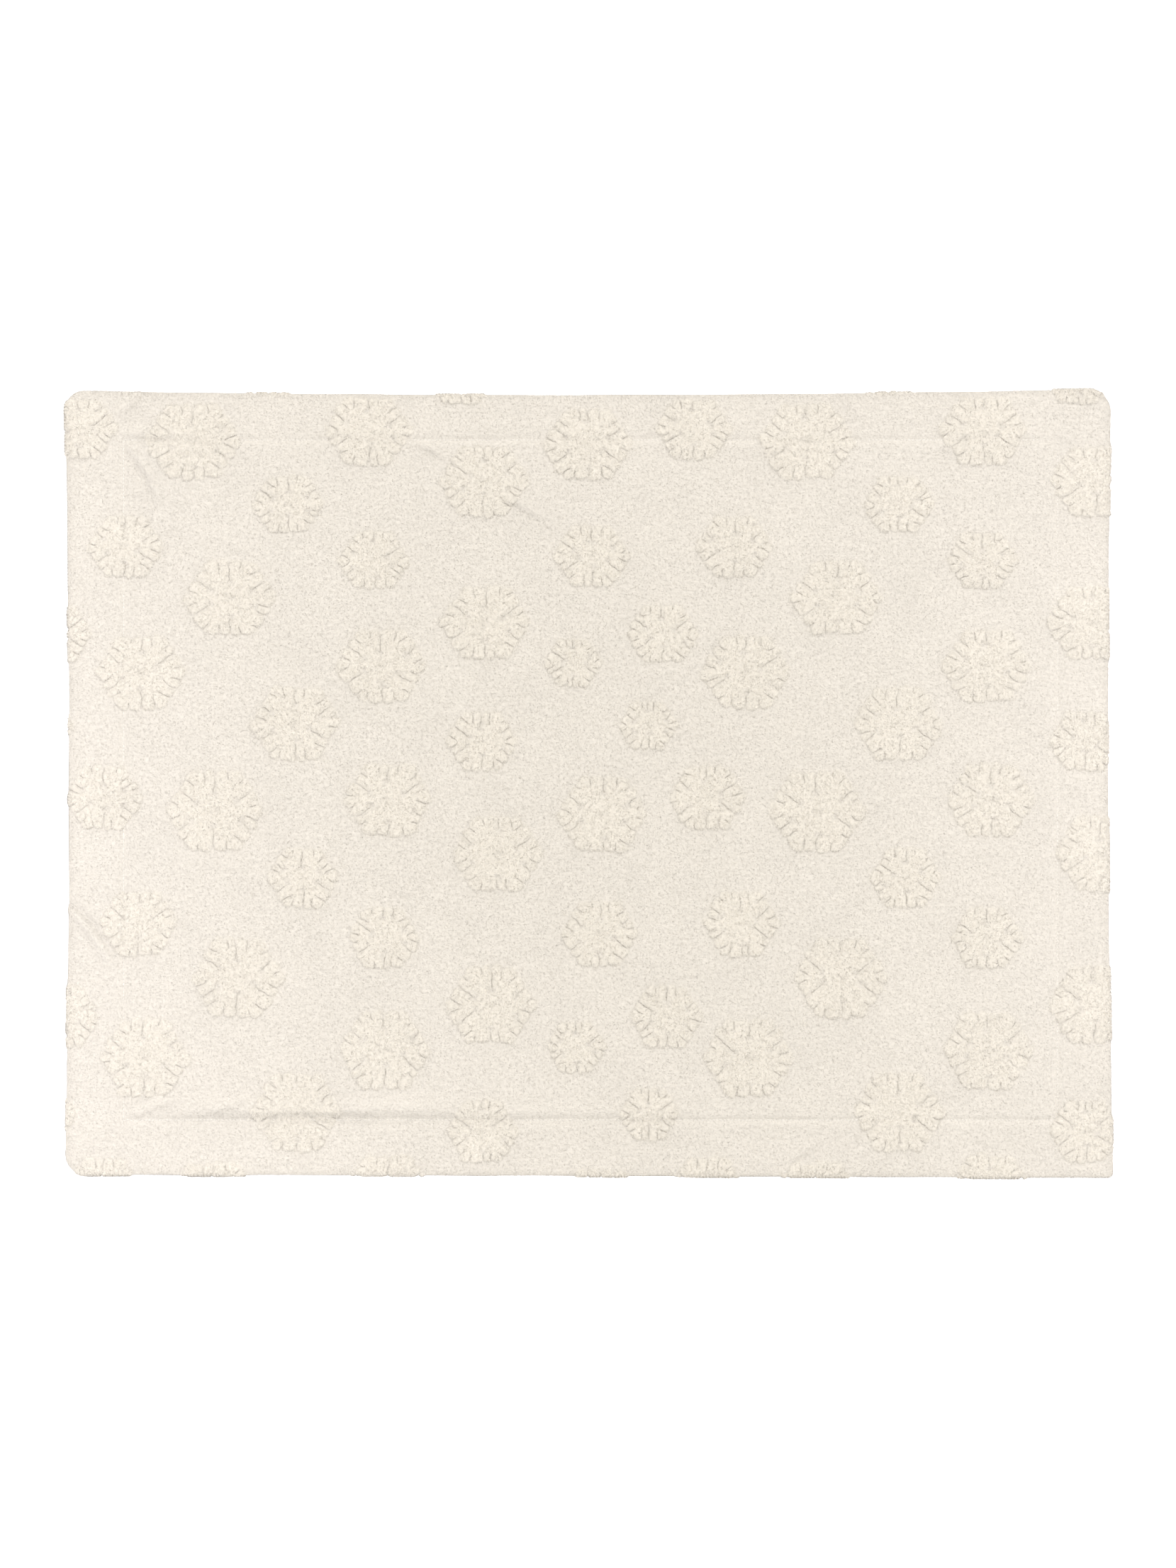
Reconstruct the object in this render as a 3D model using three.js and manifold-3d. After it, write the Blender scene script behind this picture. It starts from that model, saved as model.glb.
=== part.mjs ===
// Faux fur throw: one cream plush cloth with a wide stitched hem and raised snowflakes.
// Millimetres, +Z up. It lies flat on its underside, at Z = 0, with its middle at the origin.
import * as THREE from 'three';
import { mergeVertices } from 'three/addons/utils/BufferGeometryUtils.js';
import Module from 'manifold-3d';

const wasm = await Module();
wasm.setup();

// Driving dimensions of the cloth
const ACROSS = 2000;
const ALONG = 1500;
const GROUND_THICKNESS = 5;
const RIM_ROUND = 2;
const CREAM = 0xeee7d9;

// Fineness of the model: the grid that points lie on, the steps of a curved edge, and the sides and
// levels of a fold
const GRID = 1 / 1024;
const EDGE_STEPS = 4;
const FOLD_SIDES = 10;
const FOLD_LEVELS = 4;

// The four corners in turn: how far each lies outside the plain rectangle, how much it is rounded,
// and how far the edge that follows it bends inwards.
const CORNERS = [
  { name: 'lower left', sideX: -1, sideY: -1, outX: 0, outY: -3, round: 48, bend: 1 },
  { name: 'lower right', sideX: 1, sideY: -1, outX: 4, outY: 3, round: 14, bend: 8 },
  { name: 'upper right', sideX: 1, sideY: 1, outX: 0, outY: 5, round: 52, bend: 10 },
  { name: 'upper left', sideX: -1, sideY: 1, outX: 0, outY: 2, round: 45, bend: 8 },
];

// The stitch line that holds the hem: its distance in from each side, and the groove it pulls in
const HEM = { left: 113, right: 103, top: 93, bottom: 108 };
const GROOVE = { bottomZ: 2.6, topZ: 16, flare: 1.5 };

// The snowflakes: one repeat of the cloth, as the middle and width of each flake
const REPEAT_ACROSS = 1152;
const REPEAT_ALONG = 726;
const FLAKES = [
  { across: -186, along: 312, width: 176 },
  { across: 150, along: 290, width: 140 },
  { across: -22, along: 234, width: 116 },
  { across: -846, along: 215, width: 176 },
  { across: -388, along: 228, width: 176 },
  { across: -557, along: 116, width: 176 },
  { across: -202, along: 82, width: 140 },
  { across: 117, along: 112, width: 116 },
  { across: 228, along: -26, width: 150 },
  { across: -714, along: -51, width: 190 },
  { across: -382, along: -30, width: 172 },
  { across: 27, along: -58, width: 176 },
  { across: -173, along: -132, width: 176 },
  { across: -545, along: -178, width: 140 },
  { across: -859, along: -264, width: 150 },
  { across: -390, along: -290, width: 140 },
  { across: 22, along: -282, width: 150 },
  { across: -669, along: -364, width: 182 },
];

// One arm of a flake from the cleft before it. Each row is a point of its outline, by its turn from
// the arm's line in degrees and its reach as a share of the half width, with the point of the crest
// above it. Rows with the same crest point share it.
const ARM_COUNT = 6;
const HALF_ARM = 180 / ARM_COUNT;
const ARM = [
  { point: 'cleft', turn: -HALF_ARM, reach: 0.5, crest: 'cleft' },
  { point: 'finger', turn: -24, reach: 0.92, crest: 'left' },
  { point: 'notch', turn: -14, reach: 0.86, crest: 'left' },
  { point: 'tip', turn: 0, reach: 1, crest: 'left' },
  { point: 'notch', turn: 14, reach: 0.86, crest: 'right' },
  { point: 'finger', turn: 24, reach: 0.92, crest: 'right' },
];
const CREST = {
  cleft: { turn: -HALF_ARM, reach: 0.4, height: 0.35 },
  left: { turn: -15, reach: 0.8, height: 1 },
  right: { turn: 15, reach: 0.8, height: 1 },
};

// Pile of the flakes: its height over the ground, the share of it left in the dimple at the middle,
// the tallness of a flake for its width, the hexagon foot under it and its flat side's distance, how
// much of a flake must show for it to count, and how far the pile stands out past the cloth's edge
const FLAKE_PILE = 7;
const FLAKE_DIMPLE = 0.7;
const FLAKE_TALLNESS = 1.03;
const FLAKE_FOOT = { bottomZ: 2, topZ: 4.5, spread: 1.07 };
const FLAT_SIDE = Math.cos(Math.PI / ARM_COUNT);
const LEAST_SHOWING = { sideways: 24, lengthways: 10 };
const EDGE_PILE = 5;

// How the cloth lies: it is drawn longer towards the lower edge, and its upper edge is pulled left
const LAY = { stretch: 4.55e-5, pull: 35, pullFade: 22, pullPower: 1.5 };

// Soft folds that the cloth keeps: the middle, length, width, height and turn in degrees of each
const FOLDS = [
  { name: 'puff over the lower hem', x: -325, y: -612, length: 1110, width: 58, height: 3, turn: 0 },
  { name: 'bend at the left edge', x: -944, y: -298, length: 140, width: 36, height: 3.5, turn: -67 },
  { name: 'ripple at the lower left', x: -822, y: -617, length: 76, width: 24, height: 4.5, turn: 21 },
  { name: 'second ripple', x: -676, y: -617, length: 84, width: 24, height: 4.5, turn: 19 },
  { name: 'crease under the upper left', x: -830, y: 583, length: 150, width: 42, height: 3, turn: -61 },
  { name: 'crease at the upper middle', x: -300, y: 634, length: 84, width: 24, height: 2.5, turn: -27 },
  { name: 'crease below a flake', x: -118, y: 528, length: 100, width: 28, height: 3, turn: -32 },
  { name: 'bend in the lower hem', x: 412, y: -700, length: 84, width: 30, height: 2.5, turn: 32 },
];

// Sets a coordinate on a fine grid, so that faces meant to be flush are exactly so.
function snap(value) {
  return Math.round(value / GRID) * GRID;
}

// Turns a closed geometry into a solid that can be joined and cut.
function solidFrom(geometry) {
  const bare = geometry.index ? geometry.toNonIndexed() : geometry.clone();
  bare.deleteAttribute('normal');
  bare.deleteAttribute('uv');
  const merged = mergeVertices(bare, GRID / 2);
  const corners = merged.index.array;
  const triangles = [];
  for (let i = 0; i < corners.length; i += 3) {
    const [a, b, c] = [corners[i], corners[i + 1], corners[i + 2]];
    if (a !== b && b !== c && c !== a) {
      triangles.push(a, b, c);
    }
  }
  return new wasm.Manifold(new wasm.Mesh({
    numProp: 3,
    vertProperties: Float32Array.from(merged.attributes.position.array, snap),
    triVerts: Uint32Array.from(triangles),
  }));
}

// Turns a solid back into a geometry.
function geometryFrom(solid) {
  const mesh = solid.getMesh();
  const geometry = new THREE.BufferGeometry();
  geometry.setAttribute('position', new THREE.BufferAttribute(Float32Array.from(mesh.vertProperties), 3));
  geometry.setIndex(Array.from(mesh.triVerts));
  geometry.computeVertexNormals();
  return geometry;
}

// The cloth's outline, grown outwards by a distance: bent edges between rounded corners. A curve's
// middle reaches half as far as its control point, so that stands twice as far in as the bend.
function clothOutline(grow) {
  const points = CORNERS.map((corner) => new THREE.Vector2(
    corner.sideX * (ACROSS / 2 + corner.outX + grow),
    corner.sideY * (ALONG / 2 + corner.outY + grow),
  ));
  const shape = new THREE.Shape();
  CORNERS.forEach((corner, i) => {
    const here = points[i];
    const next = points[(i + 1) % points.length];
    const nextCorner = CORNERS[(i + 1) % CORNERS.length];
    const before = points[(i + points.length - 1) % points.length];
    const edge = next.clone().sub(here).normalize();
    const inwards = new THREE.Vector2(-edge.y, edge.x);
    const arrive = here.clone().addScaledVector(before.clone().sub(here).normalize(), corner.round);
    const leave = here.clone().addScaledVector(edge, corner.round);
    const end = next.clone().addScaledVector(edge, -nextCorner.round);
    const middle = leave.clone().add(end).multiplyScalar(0.5).addScaledVector(inwards, 2 * corner.bend);
    if (i === 0) {
      shape.moveTo(arrive.x, arrive.y);
    }
    shape.quadraticCurveTo(here.x, here.y, leave.x, leave.y);
    shape.quadraticCurveTo(middle.x, middle.y, end.x, end.y);
  });
  return shape;
}

// A flat slab of an outline, from Z = 0 up to a height, with its rim rounded.
function roundedSlab(outline, height, round) {
  const geometry = new THREE.ExtrudeGeometry(outline, {
    depth: height - 2 * round,
    bevelThickness: round,
    bevelSize: round,
    bevelOffset: -round,
    bevelSegments: 1,
    curveSegments: EDGE_STEPS,
  });
  return solidFrom(geometry.translate(0, 0, round));
}

// Where a point of the flat cloth comes to lie, and how much the cloth is drawn out along there.
function layCloth(across, along) {
  const y = along * (1 - LAY.stretch * along);
  const above = Math.max(0, y / (ALONG / 2));
  const pull = LAY.pull - (LAY.pullFade * across) / (ACROSS / 2);
  return {
    x: across - pull * above ** LAY.pullPower,
    y,
    drawn: 1 - 2 * LAY.stretch * along,
  };
}

// A point of a flake's ring, for a row of the arm's table: its turn, reach and height.
function ringPoint(ring, row, z) {
  const halfArm = THREE.MathUtils.degToRad(HALF_ARM);
  const fromSide = halfArm - THREE.MathUtils.degToRad(Math.abs(row.turn));
  const hexagonReach = FLAT_SIDE / Math.cos(fromSide);
  const crest = CREST[row.crest];
  const points = {
    axis: { turn: 0, reach: 0, z },
    foot: { turn: row.turn, reach: FLAKE_FOOT.spread * hexagonReach, z },
    outline: { turn: row.turn, reach: row.reach, z },
    crest: { turn: crest.turn, reach: crest.reach, z: GROUND_THICKNESS + FLAKE_PILE * crest.height },
  };
  return points[ring];
}

// One flake about its own middle: a turned blank whose rings are drawn out to the arms. Its foot is
// a hexagon inside the ground, which shows only where the flake passes over the cloth's edge.
function flakeGeometry(halfWidth, halfTallness) {
  const levels = [
    { ring: 'axis', z: FLAKE_FOOT.bottomZ },
    { ring: 'foot', z: FLAKE_FOOT.bottomZ },
    { ring: 'foot', z: FLAKE_FOOT.topZ },
    { ring: 'outline', z: FLAKE_FOOT.topZ },
    { ring: 'outline', z: GROUND_THICKNESS },
    { ring: 'crest' },
    { ring: 'axis', z: GROUND_THICKNESS + FLAKE_PILE * FLAKE_DIMPLE },
  ];
  const sides = ARM.length * ARM_COUNT;
  const blank = levels.map((level, i) => new THREE.Vector2(level.ring === 'axis' ? 0 : 1, i));
  const geometry = new THREE.LatheGeometry(blank, sides);
  const position = geometry.attributes.position;
  for (let side = 0; side <= sides; side += 1) {
    const row = ARM[side % ARM.length];
    const armTurn = 2 * HALF_ARM * Math.floor((side % sides) / ARM.length);
    levels.forEach((level, i) => {
      const point = ringPoint(level.ring, row, level.z);
      const angle = THREE.MathUtils.degToRad(armTurn + point.turn);
      const x = point.reach * halfWidth * Math.cos(angle);
      const y = point.reach * halfTallness * Math.sin(angle);
      position.setXYZ(side * levels.length + i, x, y, point.z);
    });
  }
  return geometry;
}

// Every flake that shows on the cloth, in all repeats.
function flakeSolids() {
  const solids = [];
  for (const flake of FLAKES) {
    for (const column of [-1, 0, 1]) {
      for (const row of [-1, 0, 1]) {
        const along = flake.along + row * REPEAT_ALONG;
        const place = layCloth(flake.across + column * REPEAT_ACROSS, along);
        const halfWidth = flake.width / 2;
        const halfTallness = halfWidth * FLAKE_TALLNESS * place.drawn;
        const showsX = ACROSS / 2 + halfWidth - Math.abs(place.x);
        const showsY = ALONG / 2 + halfTallness * FLAT_SIDE - Math.abs(place.y);
        if (showsX > LEAST_SHOWING.sideways && showsY > LEAST_SHOWING.lengthways) {
          const geometry = flakeGeometry(halfWidth, halfTallness);
          solids.push(solidFrom(geometry.translate(place.x, place.y, 0)));
        }
      }
    }
  }
  return solids;
}

// A soft fold: a long low swelling that rises out of the cloth.
function foldSolid(fold) {
  const geometry = new THREE.SphereGeometry(1, FOLD_SIDES, FOLD_LEVELS);
  geometry.rotateX(Math.PI / 2);
  geometry.scale(fold.length / 2, fold.width / 2, fold.height);
  geometry.rotateZ(THREE.MathUtils.degToRad(fold.turn));
  return solidFrom(geometry.translate(fold.x, fold.y, GROUND_THICKNESS));
}

// The groove along one side of the stitch line, as a wedge from one corner to the next.
function grooveSolid(from, to) {
  const halfTop = GROOVE.flare * (GROOVE.topZ - GROOVE.bottomZ);
  const section = new THREE.Shape();
  section.moveTo(0, GROOVE.bottomZ);
  section.lineTo(halfTop, GROOVE.topZ);
  section.lineTo(-halfTop, GROOVE.topZ);
  const path = to.clone().sub(from);
  const geometry = new THREE.ExtrudeGeometry(section, { depth: path.length(), bevelEnabled: false });
  const forward = path.clone().normalize();
  const up = new THREE.Vector3(0, 0, 1);
  const side = up.clone().cross(forward);
  const placed = new THREE.Matrix4().makeBasis(side, up, forward).setPosition(from);
  return solidFrom(geometry.applyMatrix4(placed));
}

// The cloth: ground, flakes and folds in one, with the stitch line drawn in.
function throwGeometry() {
  let cloth = roundedSlab(clothOutline(0), GROUND_THICKNESS, RIM_ROUND);
  const reach = roundedSlab(clothOutline(EDGE_PILE), GROUND_THICKNESS + FLAKE_PILE, EDGE_PILE / 2);
  for (const flake of flakeSolids()) {
    cloth = cloth.add(flake.intersect(reach));
  }
  for (const fold of FOLDS) {
    cloth = cloth.add(foldSolid(fold));
  }
  const left = -ACROSS / 2 + HEM.left;
  const right = ACROSS / 2 - HEM.right;
  const bottom = -ALONG / 2 + HEM.bottom;
  const top = ALONG / 2 - HEM.top;
  const stitchCorners = [
    new THREE.Vector3(left, bottom, 0),
    new THREE.Vector3(right, bottom, 0),
    new THREE.Vector3(right, top, 0),
    new THREE.Vector3(left, top, 0),
  ];
  stitchCorners.forEach((corner, i) => {
    cloth = cloth.subtract(grooveSolid(corner, stitchCorners[(i + 1) % stitchCorners.length]));
  });
  return geometryFrom(cloth);
}

const plush = new THREE.MeshStandardMaterial({ color: CREAM, roughness: 0.95, metalness: 0 });
const cloth = new THREE.Mesh(throwGeometry(), plush);
cloth.name = 'throw';

const fauxFurThrow = new THREE.Group();
fauxFurThrow.add(cloth);

export default fauxFurThrow;
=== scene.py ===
"""Looks of a faux fur throw: cream plush cloth with raised snowflakes and a wide stitched hem.

Sizes are in millimetres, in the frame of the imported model, and become metres when a mesh is made.
"""
import logging
import math
from dataclasses import dataclass, field
from enum import Enum
from typing import NamedTuple

import bpy
import numpy as np
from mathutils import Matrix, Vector
from mathutils.geometry import delaunay_2d_cdt


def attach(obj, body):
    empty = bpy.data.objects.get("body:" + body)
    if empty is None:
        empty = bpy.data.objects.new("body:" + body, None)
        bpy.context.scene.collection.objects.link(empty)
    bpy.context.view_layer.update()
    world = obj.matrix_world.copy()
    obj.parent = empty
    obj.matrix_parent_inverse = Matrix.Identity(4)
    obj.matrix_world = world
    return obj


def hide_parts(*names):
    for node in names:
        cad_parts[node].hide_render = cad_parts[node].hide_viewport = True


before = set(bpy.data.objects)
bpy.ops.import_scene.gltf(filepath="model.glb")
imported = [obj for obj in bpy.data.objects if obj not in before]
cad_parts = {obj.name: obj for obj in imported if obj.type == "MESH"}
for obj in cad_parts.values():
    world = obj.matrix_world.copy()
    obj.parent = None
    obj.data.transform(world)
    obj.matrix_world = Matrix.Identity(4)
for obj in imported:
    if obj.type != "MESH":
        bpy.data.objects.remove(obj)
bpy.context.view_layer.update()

MM = 0.001
BODY = "root"
NODE = "throw"
SEED = 7
SIDES = 6
SIXTH = math.pi / 3
UP = (0.0, 0.0, 1.0)
LOG = logging.getLogger("throw")


class Corner(NamedTuple):
    """A corner of the cloth: its place and how far its rounding runs along each side."""

    x: float
    y: float
    round: float


class FlakeRow(NamedTuple):
    """One snowflake of the repeat: its middle on the flat cloth and its width."""

    across: float
    along: float
    width: float


class FoldRow(NamedTuple):
    """One soft fold: path, width, height, how much steeper its right side is, and its crease's painted
    shade.
    """

    path: tuple[tuple[float, float], ...]
    width: float
    height: float
    steep: float = 1.0
    crease: float = 0.0


class DriftWave(NamedTuple):
    """One wave in the drift of a flake's pile: its share, its turns each way, and which phase it takes."""

    share: float
    by_x: float
    by_y: float
    phase: int


class StripRow(NamedTuple):
    """One strip light: its middle, its two sides and its power."""

    x: float
    y: float
    across: float
    along: float
    power: float


FLAKE_ROWS = (
    FlakeRow(-186, 312, 176),
    FlakeRow(150, 290, 140),
    FlakeRow(-22, 234, 116),
    FlakeRow(-846, 215, 176),
    FlakeRow(-388, 228, 176),
    FlakeRow(-557, 116, 176),
    FlakeRow(-202, 82, 140),
    FlakeRow(117, 112, 116),
    FlakeRow(228, -26, 150),
    FlakeRow(-714, -51, 190),
    FlakeRow(-382, -30, 172),
    FlakeRow(27, -58, 176),
    FlakeRow(-173, -132, 176),
    FlakeRow(-545, -178, 140),
    FlakeRow(-859, -264, 150),
    FlakeRow(-390, -290, 140),
    FlakeRow(22, -282, 150),
    FlakeRow(-669, -364, 182),
)

FOLD_ROWS = (
    FoldRow(((-846, -624), (-560, -621), (-150, -624)), 60, 5.4, 1.9, 0.4),
    FoldRow(((-260, -625), (0, -626), (240, -627)), 44, 1.8, 1.6, 0.2),
    FoldRow(((-906, -352), (-937, -300), (-961, -267), (-1004, -226)), 26, 6.0, 1.6, 0.7),
    FoldRow(((-866, -632), (-788, -602)), 22, 3.4, 1.6, 0.3),
    FoldRow(((-723, -626), (-644, -601)), 22, 3.4, 1.6, 0.3),
    FoldRow(((-884, 654), (-839, 589), (-818, 535)), 30, 4.2, 1.8, 0.15),
    FoldRow(((-884, 667), (-770, 667)), 36, 3.0, 2.2, 0.3),
    FoldRow(((-900, 698), (-852, 752)), 26, 2.5, 1.6, 0.3),
    FoldRow(((-336, 656), (-264, 618)), 22, 3.0, 2.0, 0.3),
    FoldRow(((-172, 558), (-80, 504)), 26, 3.5, 2.0, 0.3),
    FoldRow(((375, -724), (449, -679)), 24, 2.5, 1.6, 0.3),
    FoldRow(((-602, -427), (-546, -427)), 8, -1.4),
    FoldRow(((536, -440), (572, -468)), 14, 1.6, 1.6, 0.3),
    FoldRow(((877, -505), (878, -552)), 12, 1.6, 1.6, 0.3),
)


def swell(share: np.ndarray) -> np.ndarray:
    """Quarter-round rise from 0 at share 0 to 1 at share 1.

    Args:
        share: distance in from an edge, as a share of the rounding.

    Returns:
        The height share.
    """
    inside = np.clip(share, 0.0, 1.0)
    return np.sqrt(1.0 - (1.0 - inside) ** 2)


def staggered(half: tuple[float, float], step: tuple[float, float]) -> np.ndarray:
    """A grid of places about the origin, with every other row moved by half a step.

    Args:
        half: half of the grid's width and height.
        step: distance between neighbours in a row, and between rows.

    Returns:
        N by 2 places.
    """
    rows = np.arange(-half[1], half[1], step[1])
    x, y = np.meshgrid(np.arange(-half[0], half[0], step[0]), rows)
    x = x + np.where(np.arange(len(rows)) % 2, step[0] / 2, 0.0)[:, None]
    return np.column_stack((x.ravel(), y.ravel()))


def bell(distance: np.ndarray, width: float) -> np.ndarray:
    """Smooth bump of 1 at distance 0 that fades over the width."""
    return np.exp(-((distance / width) ** 2))


@dataclass(frozen=True)
class ClothOutline:
    """The outline of the laid cloth: four bent edges between rounded corners."""

    lower_left: Corner = Corner(-1000, -747, 48)
    lower_right: Corner = Corner(1004, -753, 14)
    upper_right: Corner = Corner(1000, 755, 52)
    upper_left: Corner = Corner(-1000, 752, 45)
    bend_left: float = 8.0
    bend_right: float = 8.0
    bend_upper: float = 10.0
    bend_lower: float = 1.0
    arc_share: float = 0.85
    probe: float = 0.25
    side_points: int = 600
    settling: int = 8

    def depth(self, points: np.ndarray) -> np.ndarray:
        """How far points lie inside the outline.

        Args:
            points: N by 2 places on the cloth.

        Returns:
            N distances, negative outside.
        """
        x, y = points[:, 0], points[:, 1]
        low_l, low_r, up_r, up_l = self.lower_left, self.lower_right, self.upper_right, self.upper_left
        rise = (y - low_l.y) / (up_l.y - low_l.y)
        run = (x - low_l.x) / (low_r.x - low_l.x)
        bow_y = 1 - (2 * rise - 1) ** 2
        bow_x = 1 - (2 * run - 1) ** 2
        left = low_l.x + (up_l.x - low_l.x) * rise + self.bend_left * bow_y
        right = low_r.x + (up_r.x - low_r.x) * rise - self.bend_right * bow_y
        lower = low_l.y + (low_r.y - low_l.y) * run + self.bend_lower * bow_x
        upper = up_l.y + (up_r.y - up_l.y) * run - self.bend_upper * bow_x
        dx = np.minimum(x - left, right - x)
        dy = np.minimum(y - lower, upper - y)
        lower_round = np.where(x < 0, low_l.round, low_r.round)
        upper_round = np.where(x < 0, up_l.round, up_r.round)
        arc = self.arc_share * np.where(y < 0, lower_round, upper_round)
        cut = arc - np.hypot(arc - dx, arc - dy)
        return np.where((dx < arc) & (dy < arc), cut, np.minimum(dx, dy))

    def inward(self, points: np.ndarray) -> np.ndarray:
        """Unit directions from points straight into the cloth.

        Args:
            points: N by 2 places on the cloth.

        Returns:
            N by 2 directions.
        """
        step = self.probe
        slope_x = self.depth(points + (step, 0)) - self.depth(points - (step, 0))
        slope_y = self.depth(points + (0, step)) - self.depth(points - (0, step))
        slope = np.column_stack((slope_x, slope_y))
        return slope / np.maximum(np.linalg.norm(slope, axis=1, keepdims=True), 1e-9)

    def loop(self, depth: float, step: float) -> np.ndarray:
        """A closed run of points at one depth inside the outline.

        Args:
            depth: distance inside the outline.
            step: distance between neighbours.

        Returns:
            N by 2 places, counter-clockwise.
        """
        turns = (self.lower_left, self.lower_right, self.upper_right, self.upper_left)
        corners = np.array([turn[:2] for turn in turns])
        sides = zip(corners, np.roll(corners, -1, axis=0))
        path = np.concatenate([np.linspace(a, b, self.side_points, endpoint=False) for a, b in sides])
        for _ in range(self.settling):
            path = path + self.inward(path) * (depth - self.depth(path))[:, None]
        closed = np.vstack((path, path[:1]))
        run = np.concatenate(([0.0], np.cumsum(np.linalg.norm(np.diff(closed, axis=0), axis=1))))
        at = np.linspace(0.0, run[-1], int(round(run[-1] / step)), endpoint=False)
        return np.column_stack([np.interp(at, run, closed[:, i]) for i in (0, 1)])


@dataclass(frozen=True)
class FoldedRim:
    """The rounded edge, where the cloth turns over to its back."""

    reach_in: float = 7.0
    top: float = 4.2
    middle: float = 2.2
    under: float = 3.5
    upper_arc: float = 7.6
    lower_arc: float = 4.4

    @property
    def flat_end(self) -> float:
        """Depth on the flat cloth at which the back begins."""
        return self.reach_in - self.upper_arc - self.lower_arc

    def turn(self, depth: np.ndarray) -> tuple[np.ndarray, ...]:
        """Where the flat cloth goes as it turns over the edge.

        Args:
            depth: distance inside the outline on the flat cloth.

        Returns:
            The depth and height in space, the outward and upward parts of the normal, and how much of
            the relief is kept.
        """
        run = np.clip(self.reach_in - depth, 0.0, None)
        upper = np.clip(run / self.upper_arc, 0, 1) * math.pi / 2
        lower = np.clip((run - self.upper_arc) / self.lower_arc, 0, 1) * math.pi / 2
        rise = self.top - self.middle
        above = run <= self.upper_arc
        place = np.where(above, self.reach_in * (1 - np.sin(upper)), self.under * (1 - np.cos(lower)))
        place = np.where(depth > self.reach_in, depth, place)
        height = np.where(above, self.middle + rise * np.cos(upper), self.middle * (1 - np.sin(lower)))
        out = np.where(above, rise * np.sin(upper), self.middle * np.cos(lower))
        up = np.where(above, self.reach_in * np.cos(upper), -self.under * np.sin(lower))
        size = np.hypot(out, up)
        keep = np.where(above, 1.0, np.cos(lower) ** 2)
        return place, height, out / size, up / size, keep


@dataclass(frozen=True)
class Lay:
    """How the cloth lies: drawn longer towards the lower edge, its upper edge pulled left."""

    half_across: float = 1000.0
    half_along: float = 750.0
    stretch: float = 4.55e-5
    pull: float = 35.0
    pull_fade: float = 22.0
    pull_power: float = 1.5

    def place(self, across: float, along: float) -> tuple[float, float, float]:
        """Where a point of the repeat comes to lie.

        Args:
            across: place along the long sides.
            along: place along the short sides.

        Returns:
            Its x and y, and how much the cloth is drawn out along there.
        """
        y = along * (1 - self.stretch * along)
        above = max(0.0, y / self.half_along)
        pull = self.pull - self.pull_fade * across / self.half_across
        return across - pull * above**self.pull_power, y, 1 - 2 * self.stretch * along


@dataclass(frozen=True)
class FlakeForm:
    """The form that all snowflakes share, as shares of the half width, with roundings in millimetres."""

    flat: float = 0.88
    corner: float = 0.975
    slit_places: tuple[float, ...] = (-0.27, 0.0, 0.27)
    slit_reaches: tuple[float, ...] = (0.19, 0.42, 0.19)
    slit_strays: tuple[float, ...] = (0.08, 0.03, 0.08)
    slit_half: float = 0.007
    slit_mouth: float = 0.02
    slit_lean: float = 0.3
    reach_range: tuple[float, float] = (0.6, 1.35)
    cleft: int = 1
    hook: float = 0.07
    hook_upright: float = 0.02
    hole_along: float = 0.045
    hole_across: float = 0.075
    finger_stray: float = 0.028
    finger_round: float = 0.035
    # rim_shade, slit_shade and dimple_shade set how much shade is painted at the rim, in the slits and in
    # the middle hollow.
    rim_shade: float = 0.09
    rim_in: float = 1.0
    rim_wide: float = 3.0
    slit_shade: float = 0.20
    slit_in: float = 0.4
    slit_wide: float = 1.8
    slit_end: float = 1.0
    foot_share: float = 0.6
    foot_in: float = 0.8
    foot_wide: float = 1.6
    blend: float = 2.0
    blend_start: float = 0.6
    dimple: float = 0.085
    dimple_squash: tuple[float, float] = (0.7, 1.4)
    dimple_depth: float = 0.55
    dimple_shade: float = 0.4
    edge_round: float = 4.5
    slit_round: float = 1.6
    wobble: float = 0.017
    drift_x: tuple[DriftWave, ...] = (
        DriftWave(1.0, 0.0, 4.1, 0),
        DriftWave(0.6, 5.2, 9.3, 1),
        DriftWave(0.6, 11.0, 23.0, 4),
    )
    drift_y: tuple[DriftWave, ...] = (
        DriftWave(1.0, 4.6, 0.0, 2),
        DriftWave(0.6, 8.7, -4.4, 3),
        DriftWave(0.6, 21.0, -13.0, 5),
    )

    def hooked(self, side: np.ndarray) -> np.ndarray:
        """How far the long cleft of a side bends where it ends.

        Args:
            side: angle of the side's normal.

        Returns:
            The distance along the side.
        """
        upright = np.isclose(np.cos(side), 0)
        return np.where(upright, self.hook_upright, -self.hook * np.sign(np.sin(2 * side)))


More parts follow.
